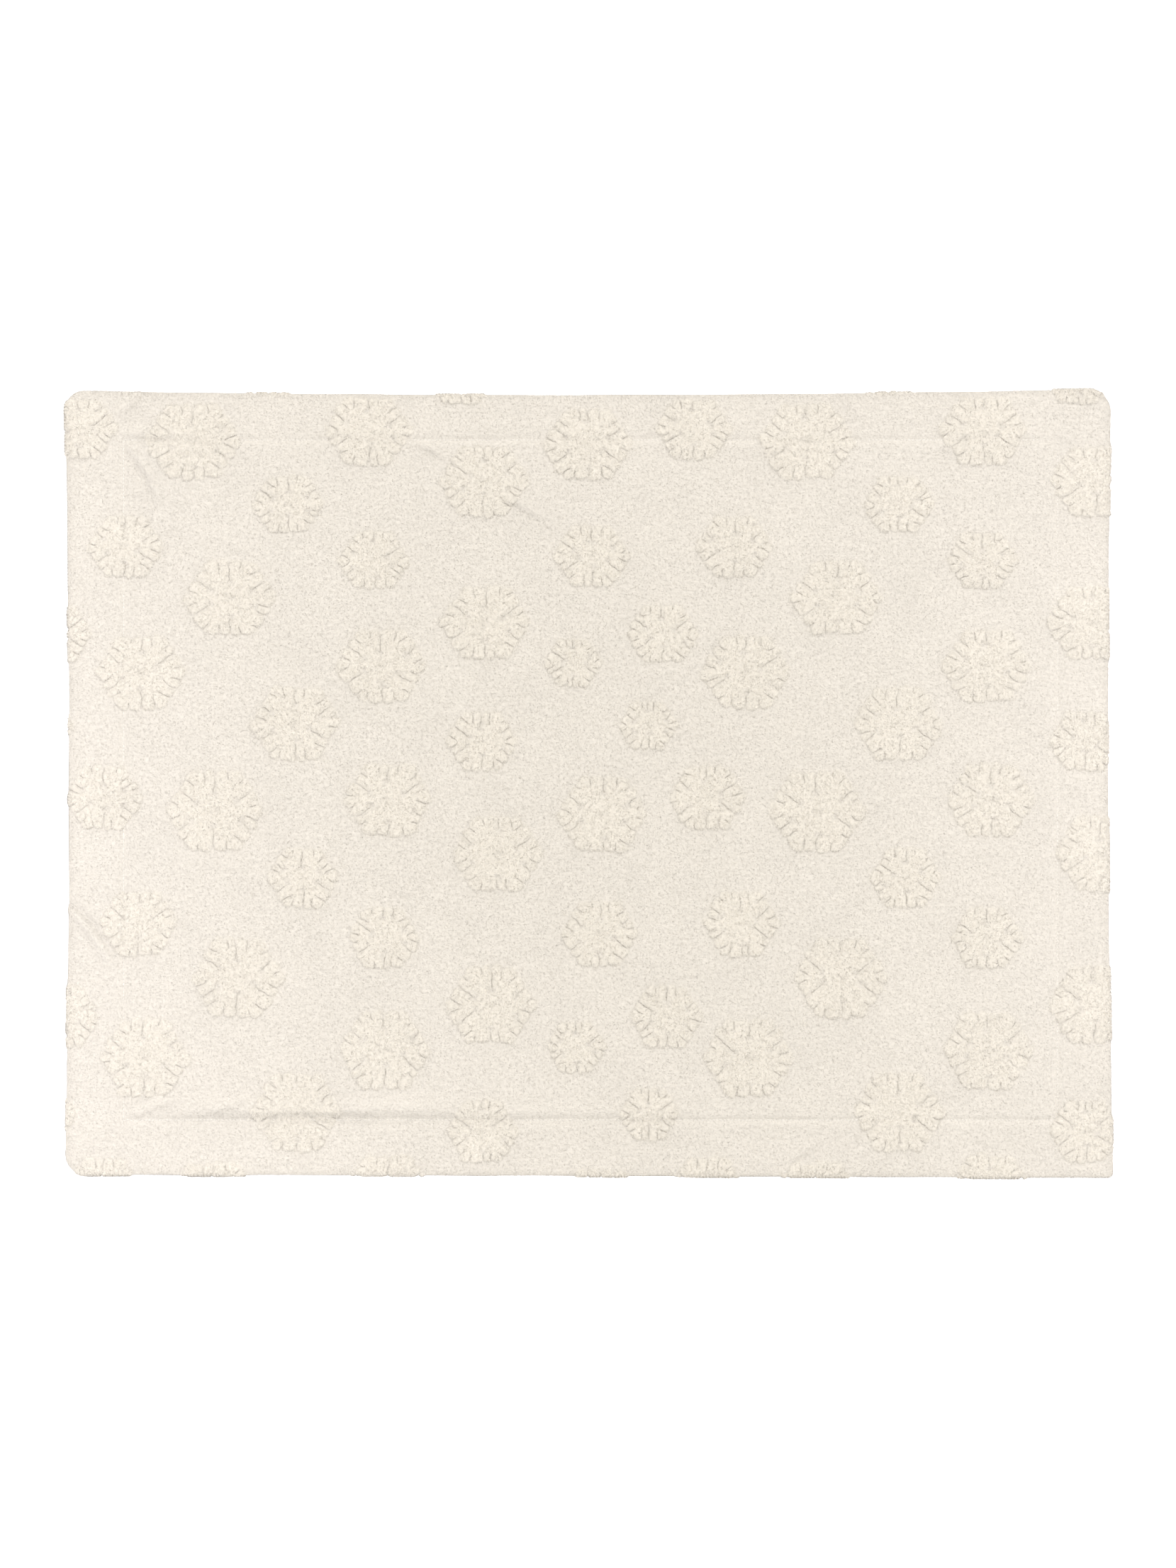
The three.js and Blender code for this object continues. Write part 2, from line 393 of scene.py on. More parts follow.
@dataclass(frozen=True)
class Snowflake:
    """One snowflake where it lies on the cloth.

    The lanes are runs of mesh points: along a slit and beside it, and along the rim at each inset.
    """

    SLIT_STEP = 3.8
    SLIT_LANES = (0.0, -1.8, 1.8)
    RIM_LANES = ((-0.8, 4.4), (1.0, 4.4), (4.0, 6.0), (-4.2, 6.5))
    FINGER_SEED = SEED + 500

    x: float
    y: float
    half_width: float
    half_tall: float
    number: int
    form: FlakeForm = FlakeForm()

    def wobble(self, x: np.ndarray, y: np.ndarray) -> tuple[np.ndarray, np.ndarray]:
        """Small drift of the pile, different for each flake.

        Args:
            x: places as shares of the half width.
            y: places as shares of the half height.

        Returns:
            The drift of each place, in the same shares.
        """
        waves = (self.form.drift_x, self.form.drift_y)
        count = sum(len(way) for way in waves)
        phase = np.random.default_rng(SEED + self.number).uniform(0, 2 * math.pi, count)
        drifts = []
        for way in waves:
            drift = sum(w.share * np.sin(w.by_x * x + w.by_y * y + phase[w.phase]) for w in way)
            drifts.append(self.form.wobble * drift)
        return drifts[0], drifts[1]

    def fingers(self) -> tuple[np.ndarray, np.ndarray, np.ndarray]:
        """Where slits part the fingers along the sides, different for each flake.

        Returns:
            The slits' places along each of the six sides, how far they reach in, and how far each finger
            stands out.
        """
        form = self.form
        count = len(form.slit_places)
        draw = np.random.default_rng(self.FINGER_SEED + self.number)
        strays = np.array(form.slit_strays) * draw.uniform(-1, 1, (SIDES, count))
        reaches = np.array(form.slit_reaches) * draw.uniform(*form.reach_range, (SIDES, count))
        ends = form.flat + form.finger_stray * draw.uniform(-1, 1, (SIDES, count + 1))
        return np.array(form.slit_places) + strays, reaches, ends

    def finger_end(self, number: np.ndarray, v: np.ndarray) -> np.ndarray:
        """How far out the finger reaches at a place beside a side's middle.

        Args:
            number: which of the six sides.
            v: distance along the side.

        Returns:
            The distance from the flake's middle.
        """
        places, _, ends = self.fingers()
        tip = self.form.flat / math.sqrt(3)
        low, high = -2 * tip - places[:, :1], 2 * tip - places[:, -1:]
        parts = np.hstack((low, places, high))
        finger = sum((v > places[number, slit]).astype(int) for slit in range(places.shape[1]))
        start, end = parts[number, finger], parts[number, finger + 1]
        off = (2 * v - start - end) / (end - start)
        return ends[number, finger] - self.form.finger_round * np.minimum(off**2, 1)

    def slit_middle(self, number: np.ndarray, slit: int, u: np.ndarray) -> np.ndarray:
        """How far a slit lies beside the middle of its side.

        Args:
            number: which of the six sides.
            slit: which of its slits.
            u: distance from the flake's middle along the side's normal.

        Returns:
            The distance along the side.
        """
        form = self.form
        places, reaches, _ = self.fingers()
        line = places[number, slit] * (1 - form.slit_lean * (1 - u / form.flat))
        if slit != form.cleft:
            return line
        run = np.clip((form.flat - u) / reaches[number, slit], 0, 1)
        return line + form.hooked((number + 0.5) * SIXTH) * run**2

    def local(self, points: np.ndarray) -> tuple[np.ndarray, np.ndarray]:
        """Places on the cloth as shares of the flake's half width and half height.

        Args:
            points: N by 2 places.

        Returns:
            The two shares, with the drift of the pile in them.
        """
        x = (points[:, 0] - self.x) / self.half_width
        y = (points[:, 1] - self.y) / self.half_tall
        drift_x, drift_y = self.wobble(x, y)
        return x + drift_x, y + drift_y

    def spread(self, x: np.ndarray, y: np.ndarray) -> np.ndarray:
        """Places on the cloth for shares of the flake's half width and half height.

        Args:
            x: shares of the half width.
            y: shares of the half height.

        Returns:
            N by 2 places.
        """
        drift_x, drift_y = self.wobble(x, y)
        place_x = self.x + (x - drift_x) * self.half_width
        place_y = self.y + (y - drift_y) * self.half_tall
        return np.column_stack((place_x, place_y))

    def inside(self, x: np.ndarray, y: np.ndarray) -> tuple[np.ndarray, np.ndarray]:
        """How far places lie inside the fingers of the flake.

        Args:
            x: shares of the half width.
            y: shares of the half height.

        Returns:
            Distances from the outline and from the nearest cleft or slit, as shares of the half width,
            negative outside the flake and in its clefts and slits.
        """
        form = self.form
        number = np.floor(np.arctan2(y, x) / SIXTH).astype(int)
        side = (number + 0.5) * SIXTH
        u = x * np.cos(side) + y * np.sin(side)
        v = y * np.cos(side) - x * np.sin(side)
        gap = np.full(len(u), np.inf)
        _, reaches, _ = self.fingers()
        for slit in range(reaches.shape[1]):
            reach = reaches[number, slit]
            run = u - form.flat + reach
            off = v - self.slit_middle(number, slit, u)
            mouth = form.slit_mouth * np.clip(run / reach, 0, 1) ** 3
            gap = np.minimum(gap, np.hypot(off, np.minimum(run, 0)) - form.slit_half - mouth)
            if slit == form.cleft:
                hole = np.hypot(run / form.hole_along, off / form.hole_across) - 1
                gap = np.minimum(gap, hole * form.hole_along)
        edge = np.minimum(self.finger_end(number, v) - u, form.corner - np.hypot(x, y))
        return edge, gap

    def relief(self, points: np.ndarray) -> tuple[np.ndarray, np.ndarray, np.ndarray, np.ndarray]:
        """The flake's pile at places on the cloth.

        Args:
            points: N by 2 places.

        Returns:
            The height share of the pile, how much a place belongs to the flake, how much shade is painted
            at its rim, in its slits and in its middle hollow, and how much it lies in a slit or at the foot
            of the pile.
        """
        form = self.form
        x, y = self.local(points)
        edge, gap = (part * self.half_width for part in self.inside(x, y))
        depth = np.minimum(edge, gap)
        rise = np.minimum(swell(edge / form.edge_round), swell(gap / form.slit_round))
        squash_x, squash_y = form.dimple_squash
        hollow = bell(np.hypot(squash_x * x, squash_y * y), form.dimple)
        member = np.clip(depth / form.blend + form.blend_start, 0, 1)
        beside = edge > -form.slit_end
        # Painted shade: the rim, the slits and the middle hollow are darkened in the pile's colour.
        rim = form.rim_shade * bell(edge - form.rim_in, form.rim_wide)
        slits = form.slit_shade * bell(gap + form.slit_in, form.slit_wide) * beside
        shade = rim + slits + form.dimple_shade * hollow
        foot = form.foot_share * bell(edge + form.foot_in, form.foot_wide)
        cut = np.maximum(foot, bell(gap + form.foot_in, form.foot_wide) * beside)
        return rise * (1 - form.dimple_depth * hollow), member, shade, cut

    def outline_points(self) -> np.ndarray:
        """Places that the fine mesh needs along the sides, the slits and the clefts.

        Returns:
            N by 2 places on the cloth.
        """
        form = self.form
        share = 1.0 / self.half_width
        found = []
        _, reaches, _ = self.fingers()
        for number in range(SIDES):
            side = (number + 0.5) * SIXTH
            runs = []
            for slit, reach in enumerate(reaches[number]):
                u = np.arange(form.flat - reach, form.flat, self.SLIT_STEP * share)
                middle = self.slit_middle(number, slit, u)
                runs += [(u, middle + off * share) for off in self.SLIT_LANES]
            for inset, step in self.RIM_LANES:
                reach = (form.flat - inset * share) / math.sqrt(3)
                v = np.arange(-reach, reach, step * share)
                runs.append((self.finger_end(number, v) - inset * share, v))
            for u, v in runs:
                x = u * math.cos(side) - v * math.sin(side)
                y = u * math.sin(side) + v * math.cos(side)
                found.append(self.spread(x, y))
        return np.concatenate(found)

    def fill_points(self, step: float) -> np.ndarray:
        """An even grid of places over the flake.

        Args:
            step: distance between neighbours.

        Returns:
            N by 2 places on the cloth.
        """
        reach = self.half_width
        points = staggered((reach, reach), (step, step * math.sqrt(0.75)))
        return points[np.linalg.norm(points, axis=1) < reach] + (self.x, self.y)


@dataclass(frozen=True)
class SnowflakeRepeat:
    """The scattered snowflakes, as repeats of one table."""

    rows: tuple[FlakeRow, ...] = FLAKE_ROWS
    repeat_across: float = 1152.0
    repeat_along: float = 726.0
    tallness: float = 0.918
    lay: Lay = Lay()

    def flakes(self) -> list[Snowflake]:
        """Every snowflake that shows on the cloth.

        Returns:
            The flakes, each at its place.
        """
        found = []
        for row in self.rows:
            for column in (-1, 0, 1):
                for line in (-1, 0, 1):
                    across = row.across + column * self.repeat_across
                    x, y, drawn = self.lay.place(across, row.along + line * self.repeat_along)
                    half_width = row.width / 2
                    half_tall = half_width * self.tallness * drawn
                    shows_x = self.lay.half_across + half_width - abs(x)
                    shows_y = self.lay.half_along + half_tall * math.cos(math.pi / 6) - abs(y)
                    if shows_x > 0 and shows_y > 0:
                        found.append(Snowflake(x, y, half_width, half_tall, len(found)))
        return found


@dataclass(frozen=True)
class StitchLine:
    """The line of stitches that holds the hem down, and the groove that it pulls in."""

    left: float = -887.0
    right: float = 897.0
    lower: float = -642.0
    upper: float = 657.0
    floor: float = 2.6
    groove: float = 3.4
    puff: float = 0.9
    puff_place: float = 14.0
    puff_width: float = 9.0
    pitch: float = 7.0
    thread: float = 1.2
    lanes: tuple[float, ...] = (-12.0, -6.5, -3.0, 0.0, 3.0, 6.5, 12.0)
    lane_step: float = 6.5

    def corners(self) -> np.ndarray:
        """The four corners of the line, counter-clockwise."""
        low, high = self.lower, self.upper
        return np.array([(self.left, low), (self.right, low), (self.right, high), (self.left, high)])

    def inset(self, by: float) -> "StitchLine":
        """The same line, moved into the stitched panel by a distance."""
        return StitchLine(self.left + by, self.right - by, self.lower + by, self.upper - by)

    def distance(self, points: np.ndarray) -> np.ndarray:
        """How far places lie from the line.

        Args:
            points: N by 2 places on the cloth.

        Returns:
            N distances, positive inside the stitched panel and negative on the hem.
        """
        x, y = points[:, 0], points[:, 1]
        dx = np.minimum(x - self.left, self.right - x)
        dy = np.minimum(y - self.lower, self.upper - y)
        outside = np.hypot(np.minimum(dx, 0), np.minimum(dy, 0))
        return np.where(outside > 0, -outside, np.minimum(dx, dy))

    def run(self, step: float) -> np.ndarray:
        """Places along the line, all round.

        Args:
            step: distance between neighbours.

        Returns:
            N by 2 places.
        """
        corners = self.corners()
        sides = []
        for a, b in zip(corners, np.roll(corners, -1, axis=0)):
            count = int(round(np.linalg.norm(b - a) / step))
            sides.append(np.linspace(a, b, count, endpoint=False))
        return np.concatenate(sides)

    def groove_points(self) -> np.ndarray:
        """Places that the fine mesh needs across the groove."""
        return np.concatenate([self.inset(lane).run(self.lane_step) for lane in self.lanes])


@dataclass(frozen=True)
class Unevenness:
    """Faint waves of the cloth, which never lies quite flat."""

    broad: float = 0.5
    broad_x: float = 83.0
    broad_y: float = 67.0
    start_x: float = 0.7
    start_y: float = 1.9
    slant: float = 0.35
    slant_x: float = 41.0
    slant_y: float = 57.0

    def height(self, points: np.ndarray) -> np.ndarray:
        """How far the waves lift the cloth.

        Args:
            points: N by 2 places on the cloth.

        Returns:
            N heights.
        """
        x, y = points[:, 0], points[:, 1]
        broad = np.sin(x / self.broad_x + self.start_x) * np.sin(y / self.broad_y + self.start_y)
        return self.broad * broad + self.slant * np.sin(x / self.slant_x - y / self.slant_y)


@dataclass(frozen=True)
class SoftFold:
    """A soft fold that the cloth keeps: a ridge with a shallow trough along its right side."""

    row: FoldRow
    taper_power: float = 0.75
    ridge_wide: float = 0.6
    trough_share: float = 0.4
    trough_place: float = 1.25
    trough_wide: float = 0.55
    crease_wide: float = 0.3
    mesh_reach: float = 34.0

    def axes(self, points: np.ndarray) -> tuple[np.ndarray, np.ndarray]:
        """Places along and across the fold.

        Args:
            points: N by 2 places on the cloth.

        Returns:
            The place along, from -1 to 1, and the place to the left, as a share of the half width.
        """
        path = np.array(self.row.path, float)
        steps = np.linalg.norm(np.diff(path, axis=0), axis=1)
        starts = np.concatenate(([0.0], np.cumsum(steps)))
        near = np.full(len(points), np.inf)
        along, left = np.zeros(len(points)), np.zeros(len(points))
        for number, size in enumerate(steps):
            way = (path[number + 1] - path[number]) / size
            away = points - path[number]
            run = np.clip(away @ way, 0, size)
            gap = np.linalg.norm(away - run[:, None] * way, axis=1)
            side = np.sign(way[0] * away[:, 1] - way[1] * away[:, 0])
            closer = gap < near
            near = np.where(closer, gap, near)
            along = np.where(closer, (starts[number] + run) / starts[-1] * 2 - 1, along)
            left = np.where(closer, side * gap, left)
        return along, left / (self.row.width / 2)

    def relief(self, points: np.ndarray) -> tuple[np.ndarray, np.ndarray]:
        """How the fold lifts the cloth, and the shade painted along its crease.

        Args:
            points: N by 2 places on the cloth.

        Returns:
            N heights, and N shares of shade painted along the crease.
        """
        row = self.row
        along, left = self.axes(points)
        taper = np.clip(1 - along**2, 0, 1) ** self.taper_power
        steeper = np.where(left < 0, left * row.steep, left)
        trough = left + self.trough_place / row.steep
        ridge = bell(steeper, self.ridge_wide) - self.trough_share * bell(trough, self.trough_wide)
        # The crease's shade is painted into the pile's colour.
        return row.height * taper * ridge, row.crease * taper * bell(trough, self.crease_wide)

    def points(self, step: float) -> np.ndarray:
        """Places on and beside the fold that the fine mesh needs.

        Args:
            step: distance between neighbours.

        Returns:
            N by 2 places.
        """
        path = np.array(self.row.path, float)
        reach = min(self.row.width, self.mesh_reach)
        found = []
        for start, end in zip(path[:-1], path[1:]):
            size = np.linalg.norm(end - start)
            way = (end - start) / size
            run, off = np.meshgrid(np.arange(0, size, step), np.arange(-reach, reach, step))
            across = np.array((-way[1], way[0]))
            found.append(start + run.reshape(-1, 1) * way + off.reshape(-1, 1) * across)
        return np.concatenate(found)


class PointPool:
    """Places on the flat cloth, gathered from the most wanted to the least, none too close."""

    ROW = 100000

    def __init__(self, half_x: float, half_y: float, cell: float = 1.0) -> None:
        """Starts an empty pool over a rectangle.

        Args:
            half_x: half of its width.
            half_y: half of its height.
            cell: side of the squares in which places are counted.
        """
        self.corner = np.array((-half_x, -half_y))
        self.cell = cell
        self.taken = np.zeros((int(2 * half_x / cell) + 1, int(2 * half_y / cell) + 1), np.int32)
        self.runs: list[np.ndarray] = []

    def cells(self, points: np.ndarray, size: float) -> np.ndarray:
        """Whole-number squares of a size in which places lie."""
        return ((points - self.corner) / size).astype(int)

    def add(self, points: np.ndarray, clear: float) -> None:
        """Adds the places that keep clear of those already in the pool.

        Args:
            points: N by 2 places.
            clear: least distance to earlier places, and about that among the new ones.
        """
        kept = points
        for shift in (0.0, clear / 2):
            squares = self.cells(kept + shift, clear)
            _, first = np.unique(squares[:, 0] * self.ROW + squares[:, 1], return_index=True)
            kept = kept[np.sort(first)]
        reach = max(1, int(round(clear / self.cell)))
        total = np.pad(self.taken.cumsum(0).cumsum(1), ((1, 0), (1, 0)))
        spot = self.cells(kept, self.cell)
        low = np.clip(spot - reach, 0, None)
        high = np.minimum(spot + reach + 1, self.taken.shape)
        near = (
            total[high[:, 0], high[:, 1]]
            - total[low[:, 0], high[:, 1]]
            - total[high[:, 0], low[:, 1]]
            + total[low[:, 0], low[:, 1]]
        )
        self.keep(kept[near == 0])

    def keep(self, points: np.ndarray) -> None:
        """Adds places without any test."""
        spot = self.cells(points, self.cell)
        self.taken[spot[:, 0], spot[:, 1]] = 1
        self.runs.append(points)

    def points(self) -> np.ndarray:
        """All places in the pool, in the order in which they came."""
        return np.concatenate(self.runs)


@dataclass(frozen=True)
class MeshSteps:
    """How closely mesh points lie: steps along each feature, and the room kept clear about them."""

    half_across: float = 1030.0
    half_along: float = 780.0
    edge: float = 6.0
    rim_depths: tuple[float, ...] = (-3.5, -2.0, -0.6, 1.0, 2.8, 4.8, 7.0, 11.0)
    rim_clear: float = 1.2
    edge_clear: float = 0.8
    flake_clear: float = 1.4
    groove_clear: float = 2.0
    fold: float = 6.0
    fold_clear: float = 3.0
    fill: float = 7.2
    fill_clear: float = 4.0
    grid: tuple[float, float] = (13.0, 11.3)
    grid_half: tuple[float, float] = (1010, 765)
    grid_stray: float = 2.0
    grid_clear: float = 7.0
    step_lanes: tuple[float, float] = (3.0, 7.0)
    lane: float = 16.0
    lane_clear: float = 3.0
    back: float = 30.0
    back_half: tuple[float, float] = (1000, 750)
    back_clear: float = 10.0
    back_margin: float = 8.0

    def pool(self) -> PointPool:
        """An empty pool that is wider than the cloth."""
        return PointPool(self.half_across, self.half_along)


def triangles_within(points: np.ndarray, loop_size: int) -> np.ndarray:
    """Triangles over places, inside the closed loop that the first of them make.

    Args:
        points: N by 2 places, of which the loop comes first.
        loop_size: number of places in the loop.

    Returns:
        M by 3 indices, counter-clockwise.
    """
    flat = [Vector(p) for p in points.tolist()]
    _, _, faces, origins, _, _ = delaunay_2d_cdt(flat, [], [list(range(loop_size))], 1, 1e-5)
    source = np.array([o[0] for o in origins])
    return source[np.array(faces)]


@dataclass(frozen=True)
class PlushFinish:
    """Cream pile: colours of the ground and of the flakes, how dark it is in shade, and its grain."""

    # The cloth's colours, darker than the tufts', are painted shade at the roots of the pile.
    ground: tuple[float, float, float] = (0.70, 0.65, 0.564)
    flake: tuple[float, float, float] = (0.761, 0.704, 0.600)
    shade: float = 0.80
    roughness: float = 0.92
    sheen: float = 0.25
    sheen_roughness: float = 0.5
    sheen_tint: tuple[float, float, float] = (1.0, 0.92, 0.80)
    specular: float = 0.1
    grain: float = 0.42
    bump: float = 0.5
    bump_depth: float = 0.0015


@dataclass(frozen=True)
class TuftFinish(PlushFinish):
    """The tufts' colours; the cloth between them is darker, as painted shade at the pile's roots."""

    ground: tuple[float, float, float] = (0.76, 0.709, 0.622)
    flake: tuple[float, float, float] = (0.858, 0.799, 0.694)
    shade: float = 0.86


@dataclass(frozen=True)
class FlakeTuftFinish(TuftFinish):
    """The snowflakes' longer tufts, which catch more light along their sides."""

    sheen: float = 0.5


@dataclass(frozen=True)
class ThreadFinish:
    """Sewing thread: its colour, gloss and twist."""

    colour: tuple[float, float, float] = (0.95, 0.91, 0.83)
    roughness: float = 0.6
    twist: float = 900.0
    twist_shade: float = 0.9
    bump: float = 0.3
    bump_depth: float = 0.0002


@dataclass(frozen=True)
class FloorFinish:
    """Plain pale floor."""

    colour: tuple[float, float, float] = (0.96, 0.96, 0.96)
    roughness: float = 0.8
    glow: float = 0.6


class Pelt(Enum):
    """The stretches of pile, each a piece of its own."""

    GROUND_LEFT = "pile_ground_left"
    GROUND_RIGHT = "pile_ground_right"
    FLAKE_LEFT = "pile_flakes_left"
    FLAKE_RIGHT = "pile_flakes_right"

    @property
    def on_flakes(self) -> bool:
        """Whether it is the snowflakes' pile."""
        return self in (Pelt.FLAKE_LEFT, Pelt.FLAKE_RIGHT)

    @property
    def on_left(self) -> bool:
        """Whether it lies on the left half of the cloth."""
        return self in (Pelt.GROUND_LEFT, Pelt.FLAKE_LEFT)


def wire(tree: bpy.types.NodeTree, source: object, target: bpy.types.NodeSocket) -> None:
    """Links an output to an input, or sets the input where the source is a plain value.

    Args:
        tree: the tree that holds the sockets.
        source: an output socket or a value.
        target: an input socket.
    """
    if isinstance(source, bpy.types.NodeSocket):
        tree.links.new(source, target)
    else:
        target.default_value = source


def node(
    tree: bpy.types.NodeTree, kind: str, inputs: dict[str | int, object] | None = None, **values: object
) -> bpy.types.Node:
    """Adds a node to a tree.

    Args:
        tree: shader or geometry tree.
        kind: the node's type name.
        inputs: what each input gets, by its name or number: an output socket or a value.
        **values: properties of the node.

    Returns:
        The node.
    """
    made = tree.nodes.new(kind)
    for name, value in values.items():
        setattr(made, name, value)
    for key, source in (inputs or {}).items():
        wire(tree, source, made.inputs[key])
    return made


def vector_step(tree: bpy.types.NodeTree, operation: str, a: object, b: object) -> bpy.types.NodeSocket:
    """Adds one step of vector arithmetic to a tree.

    Args:
        tree: shader or geometry tree.
        operation: name of the step.
        a: the first vector.
        b: the second vector, or the size for a change of scale.

    Returns:
        The result.
    """
    second = "Scale" if operation == "SCALE" else 1
    return node(tree, "ShaderNodeVectorMath", {0: a, second: b}, operation=operation).outputs[0]


def sockets(tree: bpy.types.NodeTree, way: str, kinds: dict[str, str]) -> None:
    """Gives a node group its named inputs or outputs.

    Args:
        tree: the group.
        way: INPUT or OUTPUT.
        kinds: the kind of each socket by its name.
    """
    for name, kind in kinds.items():
        tree.interface.new_socket(name, in_out=way, socket_type=f"NodeSocket{kind}")


class PileTone:
    """Shared colour and grain of the pile, and its painted shade, as one shader node group.

    Each noise has its fineness and its number of finer layers, and each ramp its range in and out.
    """

    NAME = "pile tone"
    NAP_SCALE = (30.0, 260.0, 60.0)
    NAP = (1.0, 3.0)
    NAP_RAMP = ((0.0, 1.0), (0.2, 0.8))
    CLOUD = (9.0, 5.0)
    CLOUD_RAMP = ((0.3, 0.7), (0.98, 1.02))
    SPECK = (170.0, 3.0)
    FLECK = (330.0, 2.0)
    GROUND_RAMP = ((1.0, 2.0), (0.895, 1.105))
    FLUFF_RAMP = ((0.3, 0.56), (0.88, 1.0))
    PATCH = (45.0, 2.0)
    PATCH_RAMP = ((0.35, 0.65), (0.2, 1.6))

    def group(self) -> bpy.types.NodeTree:
        """The node group, made once.

        Returns:
            The group, with inputs Ground, Flake, Shade, the unshaded share and Grain, and outputs Colour
            and Height; where the unshaded share is low, the colour darkens as painted shade.
        """
        found = bpy.data.node_groups.get(self.NAME)
        if found:
            return found
        tree = bpy.data.node_groups.new(self.NAME, "ShaderNodeTree")
        sockets(tree, "INPUT", {"Ground": "Color", "Flake": "Color"})
        sockets(tree, "INPUT", {"Shade": "Float", "Unshaded": "Float", "Grain": "Float"})
        sockets(tree, "OUTPUT", {"Colour": "Color", "Height": "Float"})
        given = node(tree, "NodeGroupInput").outputs
        place = node(tree, "ShaderNodeTexCoord").outputs["Object"]
        member = node(tree, "ShaderNodeAttribute", attribute_name="flake").outputs["Fac"]
        tones = {"Factor": member, "A": given["Ground"], "B": given["Flake"]}
        tone = node(tree, "ShaderNodeMix", tones, data_type="RGBA").outputs["Result"]
        drawn = node(tree, "ShaderNodeMapping", {"Vector": place, "Scale": self.NAP_SCALE}).outputs["Vector"]
        cloud = self.ramp(tree, self.noise(tree, place, self.CLOUD), self.CLOUD_RAMP)
        nap = self.ramp(tree, self.noise(tree, drawn, self.NAP), self.NAP_RAMP)
        speck = self.noise(tree, place, self.SPECK)
        fine = self.step(tree, "ADD", nap, speck)
        finest = self.step(tree, "ADD", fine, self.noise(tree, place, self.FLECK))
        ground = self.ramp(tree, finest, self.GROUND_RAMP)
        fluff = self.ramp(tree, speck, self.FLUFF_RAMP)
        grains = {"Factor": member, 2: ground, 3: fluff}
        grain = node(tree, "ShaderNodeMix", grains, data_type="FLOAT").outputs[0]
        patchy = self.ramp(tree, self.noise(tree, place, self.PATCH), self.PATCH_RAMP)
        # Painted shade: the colour darkens where the 'lit' attribute is low, in patches, to the Shade depth.
        closed = self.step(tree, "SUBTRACT", 1.0, given["Unshaded"])
        darkness = self.step(tree, "SUBTRACT", 1.0, given["Shade"])
        shaded = self.step(tree, "MULTIPLY", self.step(tree, "MULTIPLY", closed, patchy), darkness)
        lit = self.step(tree, "MULTIPLY", self.step(tree, "SUBTRACT", 1.0, shaded), cloud)
        colour = vector_step(tree, "SCALE", tone, self.step(tree, "MULTIPLY", grain, lit))
        height = self.step(tree, "MULTIPLY", fine, given["Grain"])
        node(tree, "NodeGroupOutput", {"Colour": colour, "Height": height})
        return tree

    def noise(
        self, tree: bpy.types.NodeTree, place: bpy.types.NodeSocket, size: tuple[float, float]
    ) -> bpy.types.NodeSocket:
        """Adds soft noise to a tree.

        Args:
            tree: the group's tree.
            place: where the noise is read.
            size: its fineness and its number of finer layers.

        Returns:
            Its value.
        """
        inputs = {"Vector": place, "Scale": size[0], "Detail": size[1]}
        return node(tree, "ShaderNodeTexNoise", inputs).outputs["Fac"]

    def step(self, tree: bpy.types.NodeTree, operation: str, a: object, b: object) -> bpy.types.NodeSocket:
        """Adds one step of arithmetic to a tree.

        Args:
            tree: the group's tree.
            operation: name of the step.
            a: the first value.
            b: the second value.

        Returns:
            The result.
        """
        return node(tree, "ShaderNodeMath", {0: a, 1: b}, operation=operation).outputs[0]

    def ramp(
        self, tree: bpy.types.NodeTree, value: bpy.types.NodeSocket, ends: tuple[tuple[float, float], ...]
    ) -> bpy.types.NodeSocket:
        """Adds a change of range to a tree.

        Args:
            tree: the group's tree.
            value: what is changed.
            ends: the two ends of its range, and what they become.

        Returns:
            The changed value.
        """
        (low, high), (to_low, to_high) = ends
        inputs = {"Value": value, "From Min": low, "From Max": high, "To Min": to_low, "To Max": to_high}
        return node(tree, "ShaderNodeMapRange", inputs).outputs["Result"]


def plush_material(name: str, finish: PlushFinish, tufted: bool) -> bpy.types.Material:
    """The cream pile's material.

    Args:
        name: the material's name.
        finish: its colours and grain.
        tufted: whether it is for the tufts, which need no bump.

    Returns:
        The material.
    """
    material = bpy.data.materials.new(name)
    material.use_nodes = True
    tree = material.node_tree
    tree.nodes.clear()
    # The unshaded share reads the 'lit' attribute, which carries the painted shade.
    tones = {
        "Ground": (*finish.ground, 1),
        "Flake": (*finish.flake, 1),
        "Shade": finish.shade,
        "Unshaded": node(tree, "ShaderNodeAttribute", attribute_name="lit").outputs["Fac"],
        "Grain": finish.grain,
    }
    tone = node(tree, "ShaderNodeGroup", tones, node_tree=PileTone().group())
    normal = node(tree, "ShaderNodeAttribute", attribute_name="facing").outputs["Vector"]
    if not tufted:
        grain = {"Height": tone.outputs["Height"], "Normal": normal}
        sizes = {"Strength": finish.bump, "Distance": finish.bump_depth}
        normal = node(tree, "ShaderNodeBump", {**grain, **sizes}).outputs["Normal"]
    look = {
        "Base Color": tone.outputs["Colour"],
        "Normal": normal,
        "Roughness": finish.roughness,
        "Sheen Weight": finish.sheen,
        "Sheen Roughness": finish.sheen_roughness,
        "Sheen Tint": (*finish.sheen_tint, 1),
        "Specular IOR Level": finish.specular,
    }
    cloth = node(tree, "ShaderNodeBsdfPrincipled", look)
    node(tree, "ShaderNodeOutputMaterial", {"Surface": cloth.outputs["BSDF"]})
    return material


